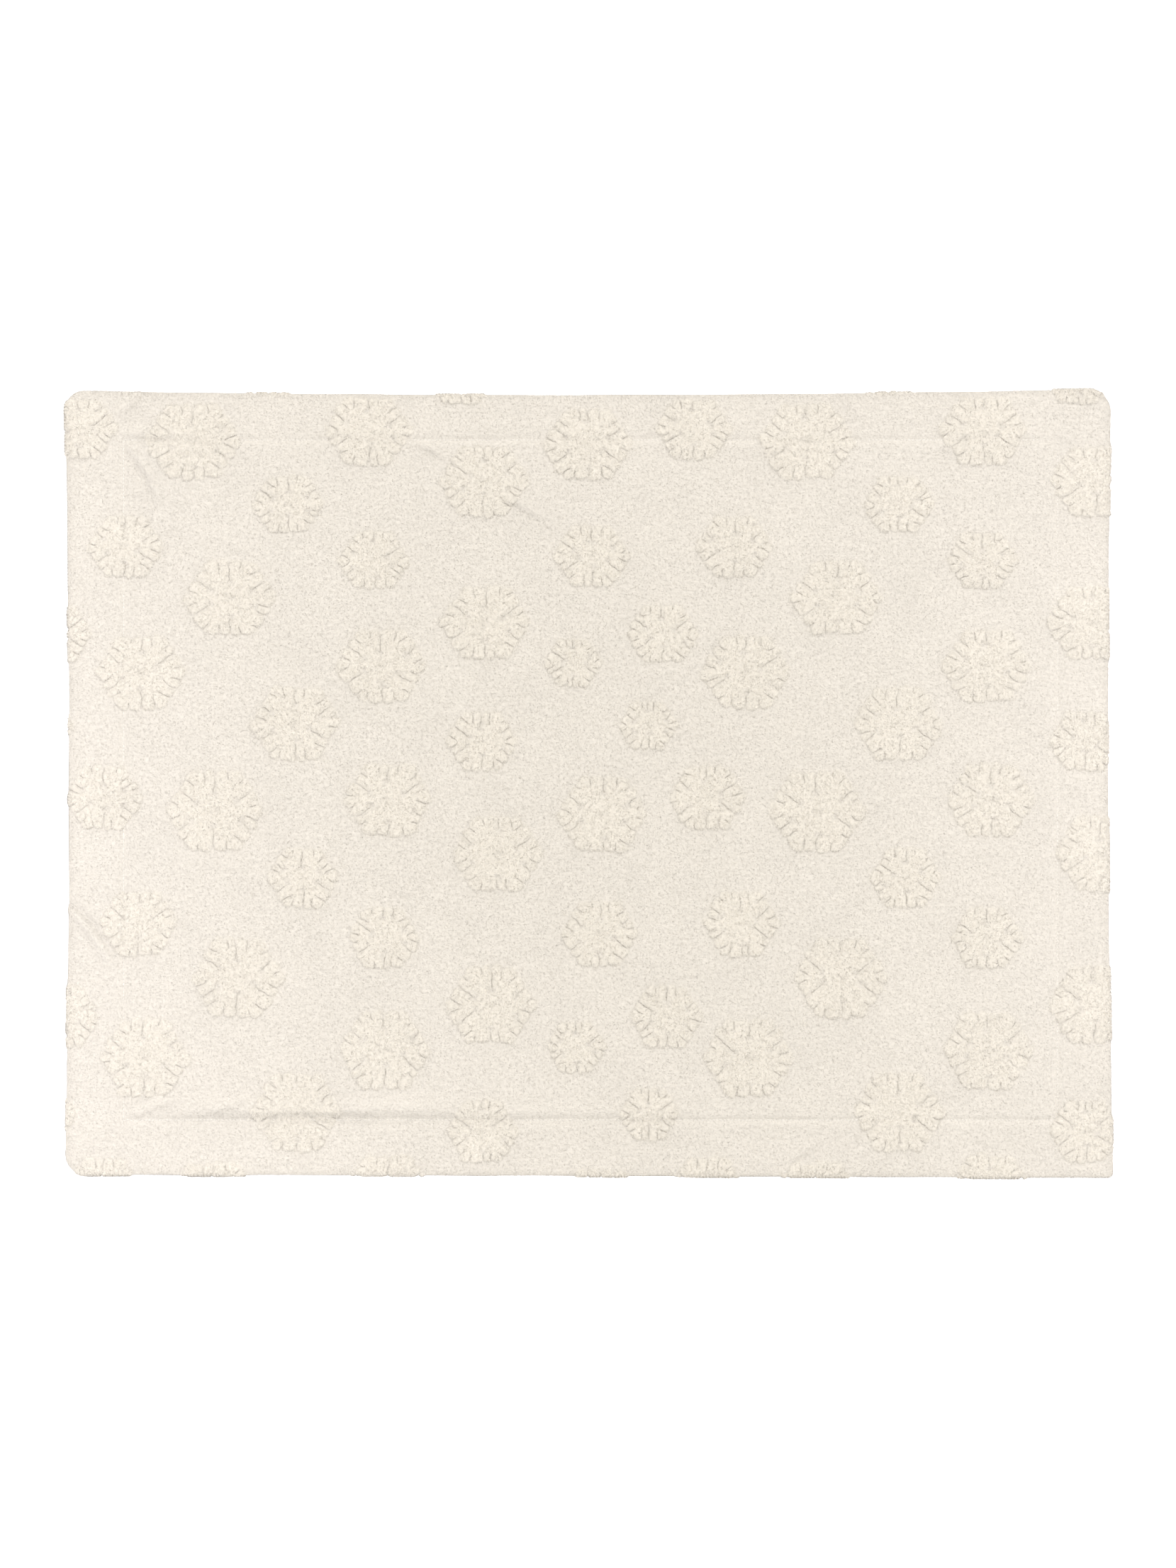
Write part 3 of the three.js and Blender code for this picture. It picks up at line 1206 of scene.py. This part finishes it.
def mesh_object(name: str, vertices: np.ndarray, faces: np.ndarray) -> bpy.types.Object:
    """A smooth triangle mesh in the scene.

    Args:
        name: the object's name.
        vertices: N by 3 places in millimetres.
        faces: M by 3 indices.

    Returns:
        The object.
    """
    mesh = bpy.data.meshes.new(name)
    mesh.vertices.add(len(vertices))
    mesh.vertices.foreach_set("co", (vertices * MM).astype(np.float32).ravel())
    mesh.loops.add(3 * len(faces))
    mesh.loops.foreach_set("vertex_index", faces.astype(np.int32).ravel())
    mesh.polygons.add(len(faces))
    mesh.polygons.foreach_set("loop_start", np.arange(0, 3 * len(faces), 3, dtype=np.int32))
    mesh.update(calc_edges=True)
    mesh.validate()
    mesh.shade_smooth()
    made = bpy.data.objects.new(name, mesh)
    bpy.context.scene.collection.objects.link(made)
    return made


def point_attribute(mesh: bpy.types.Mesh, name: str, values: np.ndarray) -> None:
    """Writes one number for each vertex.

    Args:
        mesh: the mesh.
        name: the attribute's name.
        values: the numbers.
    """
    held = mesh.attributes.get(name) or mesh.attributes.new(name, "FLOAT", "POINT")
    held.data.foreach_set("value", values.astype(np.float32))


@dataclass
class PlushCloth:
    """The cloth itself: one closed sheet with its hem, folds, stitch groove and raised snowflakes."""

    NAME = "plush_cloth"

    outline: ClothOutline = ClothOutline()
    rim: FoldedRim = FoldedRim()
    stitches: StitchLine = StitchLine()
    repeat: SnowflakeRepeat = SnowflakeRepeat()
    uneven: Unevenness = Unevenness()
    folds: tuple[SoftFold, ...] = tuple(SoftFold(row) for row in FOLD_ROWS)
    steps: MeshSteps = MeshSteps()
    flake_pile: float = 2.9
    flake_margin: float = 1.1
    panel_lift: float = 1.0
    seam_cover: float = 0.85
    seam_power: int = 3
    fringe: float = 1.6
    softness: float = 0.85
    flakes: list[Snowflake] = field(init=False)

    def __post_init__(self) -> None:
        """Lays out the snowflakes."""
        self.flakes = self.repeat.flakes()

    def top_points(self) -> tuple[np.ndarray, int]:
        """Places of the fine mesh on the flat cloth.

        Returns:
            The places, and how many of them make the closed edge.
        """
        steps = self.steps
        pool = steps.pool()
        edge = self.outline.loop(self.rim.flat_end, steps.edge)
        pool.keep(edge)
        for depth in steps.rim_depths:
            pool.add(self.outline.loop(depth, steps.edge), steps.rim_clear)
        for flake in self.flakes:
            pool.add(self.within(flake.outline_points()), steps.flake_clear)
        pool.add(self.within(self.stitches.groove_points()), steps.groove_clear)
        for fold in self.folds:
            pool.add(self.within(fold.points(steps.fold)), steps.fold_clear)
        for flake in self.flakes:
            pool.add(self.within(flake.fill_points(steps.fill)), steps.fill_clear)
        ground = staggered(steps.grid_half, steps.grid)
        stray = np.random.default_rng(SEED).uniform(-steps.grid_stray, steps.grid_stray, ground.shape)
        pool.add(self.within(ground + stray), steps.grid_clear)
        return pool.points(), len(edge)

    def within(self, points: np.ndarray) -> np.ndarray:
        """The places that lie on the cloth, clear of its back edge."""
        return points[self.outline.depth(points) > self.rim.flat_end + self.steps.edge_clear]

    def relief(self, points: np.ndarray) -> dict[str, np.ndarray]:
        """What stands up at places on the flat cloth.

        Args:
            points: N by 2 places.

        Returns:
            The height over the plain cloth, the share of flake, the shade painted at flake rims, slits and
            fold creases, the share of slit, and how near the stitches are.
        """
        pile, flake, shade, slit = np.zeros((4, len(points)))
        for one in self.flakes:
            away = np.abs(points - (one.x, one.y)).max(axis=1)
            index = np.flatnonzero(away < one.half_width * self.flake_margin)
            if len(index):
                for held, found in zip((pile, flake, shade, slit), one.relief(points[index])):
                    held[index] = np.maximum(held[index], found)
        lift = self.uneven.height(points)
        for fold in self.folds:
            raised, crease = fold.relief(points)
            lift = lift + raised
            shade = np.maximum(shade, crease)
        line = self.stitches
        seam = line.distance(points)
        lift = lift + line.puff * bell(np.abs(seam) - line.puff_place, line.puff_width)
        near_seam = bell(seam, line.groove) * (1 - self.seam_cover * flake)
        height = lift + self.flake_pile * pile
        height = height * (1 - near_seam) - (self.rim.top - line.floor) * near_seam
        return {"height": height, "flake": flake, "shade": shade, "slit": slit, "seam": near_seam}

    def build(self) -> bpy.types.Object:
        """Makes the sheet.

        Returns:
            The sheet's object, with attributes that the finish and the pile read.
        """
        flat, edge_count = self.top_points()
        top_faces = triangles_within(flat, edge_count)
        relief = self.relief(flat)
        depth = self.outline.depth(flat)
        inward = self.outline.inward(flat)
        place, height, out, up, keep = self.rim.turn(depth)
        shift = (place - depth) - out * relief["height"] * keep
        top = np.column_stack((flat + inward * shift[:, None], height + up * relief["height"] * keep))
        top[:, 2] = np.maximum(top[:, 2], 0.0)
        back_flat, back_z = self.back_points(top[:edge_count, :2])
        back_faces = triangles_within(back_flat, edge_count)[:, ::-1]
        inner = np.column_stack((back_flat[edge_count:], back_z))
        joined = np.where(back_faces < edge_count, back_faces, back_faces + len(top) - edge_count)
        made = mesh_object(self.NAME, np.vstack((top, inner)), np.vstack((top_faces, joined)))
        back = np.zeros(len(inner))
        upper = np.clip(0.5 + up * 2, 0, 1) * keep
        rim = bell(np.maximum(depth, 0), self.rim.reach_in)
        open_cloth = (1 - relief["slit"]) * (1 - relief["seam"] ** self.seam_power)
        planted = open_cloth * (1 + self.fringe * rim) * upper
        point_attribute(made.data, "flake", np.concatenate((relief["flake"] * keep, back)))
        # The 'lit' attribute carries the painted shade; the back has none.
        point_attribute(made.data, "lit", np.concatenate((1 - relief["shade"] * keep, back + 1)))
        point_attribute(made.data, "planted", np.concatenate((planted, back)))
        fluffy = np.maximum(relief["flake"], rim) * keep
        self.soften(made.data, np.concatenate((fluffy, back)))
        LOG.info("%s: %d triangles", made.name, len(made.data.polygons))
        return made

    def soften(self, mesh: bpy.types.Mesh, fluffy: np.ndarray) -> None:
        """Stores the way in which the cloth faces the light, turned up where long pile scatters it.

        Args:
            mesh: the sheet.
            fluffy: how much each vertex belongs to a flake or to the edge.
        """
        normals = np.zeros(3 * len(mesh.vertices), np.float32)
        mesh.vertex_normals.foreach_get("vector", normals)
        soft = self.softness * fluffy[:, None]
        facing = normals.reshape(-1, 3) * (1 - soft) + np.array(UP) * soft
        facing = facing / np.linalg.norm(facing, axis=1, keepdims=True)
        held = mesh.attributes.new("facing", "FLOAT_VECTOR", "POINT")
        held.data.foreach_set("vector", facing.astype(np.float32).ravel())

    def back_points(self, edge: np.ndarray) -> tuple[np.ndarray, np.ndarray]:
        """Places and heights of the back, with the step at the hem's inner edge.

        Args:
            edge: the closed edge that the back shares with the top.

        Returns:
            The places, the edge first, and the heights of those after the edge.
        """
        steps = self.steps
        pool = steps.pool()
        pool.keep(edge)
        for lane in steps.step_lanes:
            pool.add(self.stitches.inset(lane).run(steps.lane), steps.lane_clear)
        spans = [np.arange(-half, half, steps.back) for half in steps.back_half]
        grid = np.stack(np.meshgrid(*spans), axis=-1).reshape(-1, 2)
        pool.add(grid[self.outline.depth(grid) > self.rim.under + steps.back_margin], steps.back_clear)
        points = pool.points()
        start, end = steps.step_lanes
        rise = np.clip((self.stitches.distance(points[len(edge):]) - start) / (end - start), 0, 1)
        return points, self.panel_lift * rise

    def dress(self, cloth: bpy.types.Object, finish: PlushFinish) -> None:
        """Gives the sheet its material.

        Args:
            cloth: the sheet.
            finish: its colours and grain.
        """
        cloth.data.materials.append(plush_material("plush ground", finish, tufted=False))


def grown(
    base: bpy.types.Object, tree: bpy.types.NodeTree, name: str, values: dict[str, object]
) -> bpy.types.Object:
    """Runs Geometry Nodes on an object and keeps the result as a new plain mesh.

    Args:
        base: the object that the tree reads.
        tree: the tree.
        name: the new object's name.
        values: the tree's inputs by name.

    Returns:
        The new object.
    """
    modifier = base.modifiers.new(name, "NODES")
    modifier.node_group = tree
    for item in tree.interface.items_tree:
        if item.in_out == "INPUT" and item.name in values:
            modifier[item.identifier] = values[item.name]
    base.update_tag()
    graph = bpy.context.evaluated_depsgraph_get()
    mesh = bpy.data.meshes.new_from_object(base.evaluated_get(graph), depsgraph=graph)
    base.modifiers.remove(modifier)
    mesh.name = name
    mesh.shade_smooth()
    made = bpy.data.objects.new(name, mesh)
    bpy.context.scene.collection.objects.link(made)
    LOG.info("%s: %d triangles", name, sum(len(p.vertices) - 2 for p in mesh.polygons))
    return made


@dataclass(frozen=True)
class Tuft:
    """One tuft of pile, as Geometry Nodes set it on the cloth.

    The spread, the matting and the nap are parts of its lean beside the cloth's normal.
    """

    width: float
    length: float
    spread: float
    matting: float
    soft: float
    nap: tuple[float, float, float]
    per_square_metre: float


@dataclass(frozen=True)
class Pile:
    """Tufts that stand on the cloth, in a few stretches."""

    ground: Tuft = Tuft(0.47, 3.0, 0.5, 0.25, 0.3, (1.1, -0.4, 0.0), 165000)
    flake: Tuft = Tuft(0.58, 3.0, 0.5, 0.9, 0.85, (0.1, -0.3, -0.88), 410000)
    size_range: tuple[float, float] = (0.65, 1.2)
    clump_scale: float = 150.0
    clump_size: tuple[float, float, float] = (4.0, 4.0, 1.0)
    clump_middle: tuple[float, float, float] = (-2.0, -2.0, -0.5)
    ruffle: float = 0.3
    floor_gap: float = 0.3

    def tree(self, name: str) -> bpy.types.NodeTree:
        """Geometry Nodes that set tufts on a surface.

        Args:
            name: the tree's name.

        Returns:
            The tree.
        """
        tree = bpy.data.node_groups.new(name, "GeometryNodeTree")
        sockets(tree, "INPUT", {"Geometry": "Geometry", "Width": "Float", "Length": "Float"})
        sockets(tree, "INPUT", {"Spread": "Float", "Matting": "Float", "Soft": "Float", "Nap": "Vector"})
        sockets(tree, "INPUT", {"Seed": "Int", "Material": "Material"})
        sockets(tree, "OUTPUT", {"Geometry": "Geometry"})
        given = node(tree, "NodeGroupInput").outputs
        density = node(tree, "GeometryNodeInputNamedAttribute", {"Name": "tufts"}, data_type="FLOAT")
        spots = {"Mesh": given["Geometry"], "Density": density.outputs["Attribute"], "Seed": given["Seed"]}
        scatter = node(tree, "GeometryNodeDistributePointsOnFaces", spots, distribute_method="RANDOM")
        ways = {0: (-1, -1, -1), 1: (1, 1, 1), "Seed": given["Seed"]}
        stray = node(tree, "FunctionNodeRandomValue", ways, data_type="FLOAT_VECTOR").outputs[0]
        plant_inputs = {
            "Points": self.facing(tree, scatter.outputs["Points"], stray, given["Soft"]),
            "Instance": self.blade(tree),
            "Rotation": self.lean(tree, given, scatter.outputs["Normal"], stray),
            "Scale": self.size(tree, given),
        }
        plant = node(tree, "GeometryNodeInstanceOnPoints", plant_inputs)
        solid = node(tree, "GeometryNodeRealizeInstances", {"Geometry": plant.outputs["Instances"]})
        dressed = {"Geometry": solid.outputs["Geometry"], "Material": given["Material"]}
        finish = node(tree, "GeometryNodeSetMaterial", dressed)
        node(tree, "NodeGroupOutput", {"Geometry": finish.outputs["Geometry"]})
        return tree

    def lean(
        self,
        tree: bpy.types.NodeTree,
        given: bpy.types.NodeOutputs,
        normal: bpy.types.NodeSocket,
        stray: bpy.types.NodeSocket,
    ) -> bpy.types.NodeSocket:
        """Turns each tuft about itself and leans it with the nap, its clump and its own stray.

        Args:
            tree: the tree.
            given: the tree's inputs.
            normal: the cloth's normal.
            stray: a random way for each tuft.

        Returns:
            The rotation.
        """
        clump = node(tree, "ShaderNodeTexNoise", {"Scale": self.clump_scale, "Detail": 1.0})
        swirls = {0: clump.outputs["Color"], 1: self.clump_size, 2: self.clump_middle}
        swirl = node(tree, "ShaderNodeVectorMath", swirls, operation="MULTIPLY_ADD").outputs[0]
        napped = vector_step(tree, "ADD", normal, given["Nap"])
        matted = vector_step(tree, "ADD", napped, vector_step(tree, "SCALE", swirl, given["Matting"]))
        way = vector_step(tree, "ADD", matted, vector_step(tree, "SCALE", stray, given["Spread"]))
        turns = {0: (0, 0, 0), 1: (0, 0, 2 * math.pi)}
        spin = node(tree, "FunctionNodeRandomValue", turns, data_type="FLOAT_VECTOR")
        turned = node(tree, "FunctionNodeEulerToRotation", {0: spin.outputs[0]})
        aims = {"Rotation": turned.outputs[0], "Vector": way}
        return node(tree, "FunctionNodeAlignRotationToVector", aims, axis="Z").outputs[0]

    def size(self, tree: bpy.types.NodeTree, given: bpy.types.NodeOutputs) -> bpy.types.NodeSocket:
        """Makes each tuft a little larger or smaller.

        Args:
            tree: the tree.
            given: the tree's inputs.

        Returns:
            The scale.
        """
        low, high = self.size_range
        shares = {2: low, 3: high, "Seed": given["Seed"]}
        share = node(tree, "FunctionNodeRandomValue", shares, data_type="FLOAT")
        sides = {"X": given["Width"], "Y": given["Width"], "Z": given["Length"]}
        box = node(tree, "ShaderNodeCombineXYZ", sides)
        return vector_step(tree, "SCALE", box.outputs[0], share.outputs[1])

    def blade(self, tree: bpy.types.NodeTree) -> bpy.types.NodeSocket:
        """Makes one upright blade of a single triangle, of unit size.

        Args:
            tree: the tree.

        Returns:
            The blade.
        """
        disc = node(tree, "GeometryNodeMeshCircle", {"Vertices": 3, "Radius": 1.0}, fill_type="NGON")
        spot = node(tree, "GeometryNodeInputPosition")
        split = node(tree, "ShaderNodeSeparateXYZ", {0: spot.outputs[0]})
        height = node(tree, "ShaderNodeMapRange", {"Value": split.outputs["X"], "From Min": -0.5})
        sides = {"Y": split.outputs["Y"], "Z": height.outputs["Result"]}
        upright = node(tree, "ShaderNodeCombineXYZ", sides)
        moved = {"Geometry": disc.outputs["Mesh"], "Position": upright.outputs[0]}
        return node(tree, "GeometryNodeSetPosition", moved).outputs["Geometry"]

    def facing(
        self,
        tree: bpy.types.NodeTree,
        points: bpy.types.NodeSocket,
        stray: bpy.types.NodeSocket,
        soft: bpy.types.NodeSocket,
    ) -> bpy.types.NodeSocket:
        """Stores the way in which each tuft faces the light, between the cloth's own way and up.

        Args:
            tree: the tree.
            points: where the tufts stand.
            stray: a random way for each tuft.
            soft: how far they turn up.

        Returns:
            The points.
        """
        cloth = node(tree, "GeometryNodeInputNamedAttribute", {"Name": "facing"}, data_type="FLOAT_VECTOR")
        ways = {"Factor": soft, "A": cloth.outputs["Attribute"], "B": UP}
        turned = node(tree, "ShaderNodeMix", ways, data_type="VECTOR").outputs["Result"]
        ruffled = vector_step(tree, "ADD", turned, vector_step(tree, "SCALE", stray, self.ruffle))
        even = node(tree, "ShaderNodeVectorMath", {0: ruffled}, operation="NORMALIZE")
        stored = {"Geometry": points, "Name": "facing", "Value": even.outputs[0]}
        kind = {"data_type": "FLOAT_VECTOR", "domain": "POINT"}
        return node(tree, "GeometryNodeStoreNamedAttribute", stored, **kind).outputs["Geometry"]

    def build(
        self, cloth: bpy.types.Object, ground: PlushFinish, flakes: PlushFinish
    ) -> list[bpy.types.Object]:
        """Sets tufts on the cloth, one piece for each stretch.

        Args:
            cloth: the sheet that they stand on.
            ground: finish of the short pile.
            flakes: finish of the snowflakes' pile.

        Returns:
            The pieces.
        """
        mesh = cloth.data
        count = len(mesh.vertices)
        places, planted, flake = np.zeros(3 * count), np.zeros(count), np.zeros(count)
        mesh.vertices.foreach_get("co", places)
        mesh.attributes["planted"].data.foreach_get("value", planted)
        mesh.attributes["flake"].data.foreach_get("value", flake)
        left = places[0::3] < 0
        short = plush_material("plush tufts", ground, tufted=True)
        long = plush_material("snowflake tufts", flakes, tufted=True)
        tree = self.tree("plush tufts")
        made = []
        for number, pelt in enumerate(Pelt):
            tuft, material = (self.flake, long) if pelt.on_flakes else (self.ground, short)
            share = flake if pelt.on_flakes else 1 - flake
            half = left if pelt.on_left else ~left
            point_attribute(mesh, "tufts", tuft.per_square_metre * share * planted * half)
            made.append(self.plant(cloth, tree, pelt.value, tuft, SEED + number, material))
        mesh.attributes.remove(mesh.attributes["tufts"])
        return made

    def plant(
        self,
        cloth: bpy.types.Object,
        tree: bpy.types.NodeTree,
        name: str,
        tuft: Tuft,
        seed: int,
        material: bpy.types.Material,
    ) -> bpy.types.Object:
        """Runs the tree on the cloth and keeps its result as a plain mesh.

        Args:
            cloth: the sheet.
            tree: Geometry Nodes that set tufts.
            name: the new piece's name.
            tuft: sizes of a tuft.
            seed: seed of the scatter.
            material: the tufts' material.

        Returns:
            The piece.
        """
        values = {
            "Width": tuft.width * MM,
            "Length": tuft.length * MM,
            "Spread": tuft.spread,
            "Matting": tuft.matting,
            "Soft": tuft.soft,
            "Nap": tuft.nap,
            "Seed": seed,
            "Material": material,
        }
        made = grown(cloth, tree, name, values)
        self.soften(made.data)
        return made

    def soften(self, mesh: bpy.types.Mesh) -> None:
        """Keeps tufts off the floor and gives them the normals of the cloth that they stand on.

        Args:
            mesh: the tufts.
        """
        count = len(mesh.vertices)
        places, facing = np.zeros(3 * count), np.zeros(3 * count)
        mesh.vertices.foreach_get("co", places)
        places[2::3] = np.maximum(places[2::3], self.floor_gap * MM)
        mesh.vertices.foreach_set("co", places)
        mesh.attributes["facing"].data.foreach_get("vector", facing)
        mesh.normals_split_custom_set_from_vertices(facing.reshape(-1, 3).tolist())


@dataclass(frozen=True)
class HemStitches:
    """The stitches along the hem."""

    NAME = "hem_stitches"

    lift: float = 0.3
    length_share: float = 0.42
    flatness: float = 0.45
    segments: int = 8
    rings: int = 5

    def tree(self) -> bpy.types.NodeTree:
        """Geometry Nodes that lay stitches along a line.

        Returns:
            The tree.
        """
        tree = bpy.data.node_groups.new("hem stitches", "GeometryNodeTree")
        sockets(tree, "INPUT", {"Geometry": "Geometry", "Pitch": "Float", "Stitch": "Vector"})
        sockets(tree, "INPUT", {"Material": "Material"})
        sockets(tree, "OUTPUT", {"Geometry": "Geometry"})
        given = node(tree, "NodeGroupInput").outputs
        line = node(tree, "GeometryNodeMeshToCurve", {"Mesh": given["Geometry"]})
        lengths = {"Curve": line.outputs["Curve"], "Length": given["Pitch"]}
        even = node(tree, "GeometryNodeResampleCurve", lengths, mode="LENGTH")
        tangent = node(tree, "GeometryNodeInputTangent")
        aim = node(tree, "FunctionNodeAlignRotationToVector", {"Vector": tangent.outputs[0]}, axis="X")
        round_bead = {"Segments": self.segments, "Rings": self.rings, "Radius": 1.0}
        bead = node(tree, "GeometryNodeMeshUVSphere", round_bead)
        stitches = {
            "Points": even.outputs["Curve"],
            "Instance": bead.outputs["Mesh"],
            "Rotation": aim.outputs[0],
            "Scale": given["Stitch"],
        }
        lay = node(tree, "GeometryNodeInstanceOnPoints", stitches)
        solid = node(tree, "GeometryNodeRealizeInstances", {"Geometry": lay.outputs["Instances"]})
        dressed = {"Geometry": solid.outputs["Geometry"], "Material": given["Material"]}
        finish = node(tree, "GeometryNodeSetMaterial", dressed)
        node(tree, "NodeGroupOutput", {"Geometry": finish.outputs["Geometry"]})
        return tree

    def build(self, line: StitchLine, finish: ThreadFinish) -> bpy.types.Object:
        """Lays the stitches in their groove.

        Args:
            line: where the stitches run.
            finish: the thread's look.

        Returns:
            The piece.
        """
        run = line.run(line.pitch)
        places = np.column_stack((run, np.full(len(run), line.floor + self.lift)))
        mesh = bpy.data.meshes.new("stitch path")
        edges = [(i, (i + 1) % len(run)) for i in range(len(run))]
        mesh.from_pydata((places * MM).tolist(), edges, [])
        path = bpy.data.objects.new("stitch path", mesh)
        bpy.context.scene.collection.objects.link(path)
        halves = (line.pitch * self.length_share, line.thread / 2, line.thread * self.flatness)
        values = {"Pitch": line.pitch * MM, "Stitch": Vector(halves) * MM, "Material": self.material(finish)}
        made = grown(path, self.tree(), self.NAME, values)
        bpy.data.objects.remove(path)
        return made

    def material(self, finish: ThreadFinish) -> bpy.types.Material:
        """The thread's material, with its twist as fine bump.

        Args:
            finish: the thread's look.

        Returns:
            The material.
        """
        material = bpy.data.materials.new("hem thread")
        material.use_nodes = True
        tree = material.node_tree
        thread = tree.nodes["Principled BSDF"].inputs
        waves = {"Vector": node(tree, "ShaderNodeTexCoord").outputs["Object"], "Scale": finish.twist}
        bands = {"wave_type": "BANDS", "bands_direction": "DIAGONAL"}
        twist = node(tree, "ShaderNodeTexWave", waves, **bands).outputs["Fac"]
        dark = [part * finish.twist_shade for part in finish.colour]
        tones = {"Factor": twist, "A": (*dark, 1), "B": (*finish.colour, 1)}
        tone = node(tree, "ShaderNodeMix", tones, data_type="RGBA")
        wire(tree, tone.outputs["Result"], thread["Base Color"])
        ridges = {"Strength": finish.bump, "Distance": finish.bump_depth, "Height": twist}
        wire(tree, node(tree, "ShaderNodeBump", ridges).outputs["Normal"], thread["Normal"])
        thread["Roughness"].default_value = finish.roughness
        return material


@dataclass(frozen=True)
class Studio:
    """Floor, lights and camera."""

    view_height: float = 2.997
    distance: float = 6.0
    sensor: float = 36.0
    floor_size: float = 14.0
    floor_drop: float = 0.0006
    key_power: float = 1.15
    key_angle: float = math.radians(25)
    key_from: tuple[float, float, float] = (0.35, 1.0, 0.95)
    sky: float = 0.95
    strips: tuple[StripRow, ...] = (
        StripRow(-1.4, -0.1, 0.4, 1.7, 5.0),
        StripRow(1.4, 0.1, 0.4, 1.5, 3.6),
        StripRow(0.1, 1.15, 1.9, 0.3, 2.1),
        StripRow(-0.6, -1.15, 0.9, 0.3, 1.9),
        StripRow(1.15, -1.1, 0.5, 0.3, 1.0),
    )
    strip_colour: tuple[float, float, float] = (0.83, 0.83, 1.0)
    strip_height: float = 0.95

    def build(self, finish: FloorFinish) -> None:
        """Makes the floor, the lights and the camera.

        Args:
            finish: the floor's look.
        """
        self.floor(finish)
        self.lights()
        self.camera()

    def floor(self, finish: FloorFinish) -> None:
        """Makes the plain pale floor.

        Args:
            finish: its look.
        """
        half = self.floor_size / 2
        mesh = bpy.data.meshes.new("floor")
        corners = [(-half, -half), (half, -half), (half, half), (-half, half)]
        mesh.from_pydata([(x, y, -self.floor_drop) for x, y in corners], [], [(0, 1, 2, 3)])
        material = bpy.data.materials.new("pale floor")
        material.use_nodes = True
        shader = material.node_tree.nodes["Principled BSDF"]
        shader.inputs["Base Color"].default_value = (*finish.colour, 1)
        shader.inputs["Roughness"].default_value = finish.roughness
        shader.inputs["Emission Color"].default_value = (*finish.colour, 1)
        shader.inputs["Emission Strength"].default_value = finish.glow
        mesh.materials.append(material)
        made = bpy.data.objects.new("floor", mesh)
        bpy.context.scene.collection.objects.link(made)

    def lights(self) -> None:
        """Makes a soft key from above the upper edge, strips beside the throw and an even sky."""
        data = bpy.data.lights.new("soft key", "SUN")
        data.energy = self.key_power
        data.angle = self.key_angle
        self.hang(data, Vector(self.key_from), Vector(self.key_from))
        for number, row in enumerate(self.strips):
            data = bpy.data.lights.new(f"strip {number}", "AREA")
            data.shape = "RECTANGLE"
            data.size = row.across
            data.size_y = row.along
            data.energy = row.power
            data.color = self.strip_colour
            self.hang(data, Vector((row.x, row.y, self.strip_height)), Vector(UP))
        world = bpy.data.worlds.new("even sky")
        world.use_nodes = True
        sky = world.node_tree.nodes["Background"]
        sky.inputs["Color"].default_value = (1.0, 1.0, 1.0, 1.0)
        sky.inputs["Strength"].default_value = self.sky
        bpy.context.scene.world = world
        bpy.context.scene.view_settings.view_transform = "Standard"

    def hang(self, data: bpy.types.Light, place: Vector, back: Vector) -> None:
        """Puts a light in the scene, unseen by the camera.

        Args:
            data: the light.
            place: where it hangs.
            back: the way opposite to its beam.
        """
        made = bpy.data.objects.new(data.name, data)
        made.location = place
        made.rotation_euler = back.to_track_quat("Z", "Y").to_euler()
        made.visible_camera = False
        bpy.context.scene.collection.objects.link(made)

    def camera(self) -> None:
        """Makes the camera, straight above the throw."""
        data = bpy.data.cameras.new("overhead")
        data.sensor_width = self.sensor
        data.lens = self.sensor * self.distance / self.view_height
        camera = bpy.data.objects.new("overhead", data)
        camera.location = (0.0, 0.0, self.distance)
        bpy.context.scene.collection.objects.link(camera)
        bpy.context.scene.camera = camera


def declare(cloth: bpy.types.Object, others: list[bpy.types.Object]) -> None:
    """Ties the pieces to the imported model.

    Args:
        cloth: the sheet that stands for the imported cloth.
        others: the pieces that lie on it.
    """
    for piece in (cloth, *others):
        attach(piece, BODY)
    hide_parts(NODE)


def main() -> None:
    """Builds, dresses and declares every piece."""
    logging.basicConfig(level=logging.INFO, format="%(name)s: %(message)s")
    Studio().build(FloorFinish())
    maker = PlushCloth()
    cloth = maker.build()
    maker.dress(cloth, PlushFinish())
    pieces = [HemStitches().build(maker.stitches, ThreadFinish())]
    pieces += Pile().build(cloth, TuftFinish(), FlakeTuftFinish())
    declare(cloth, pieces)


if __name__ == "__main__":
    main()
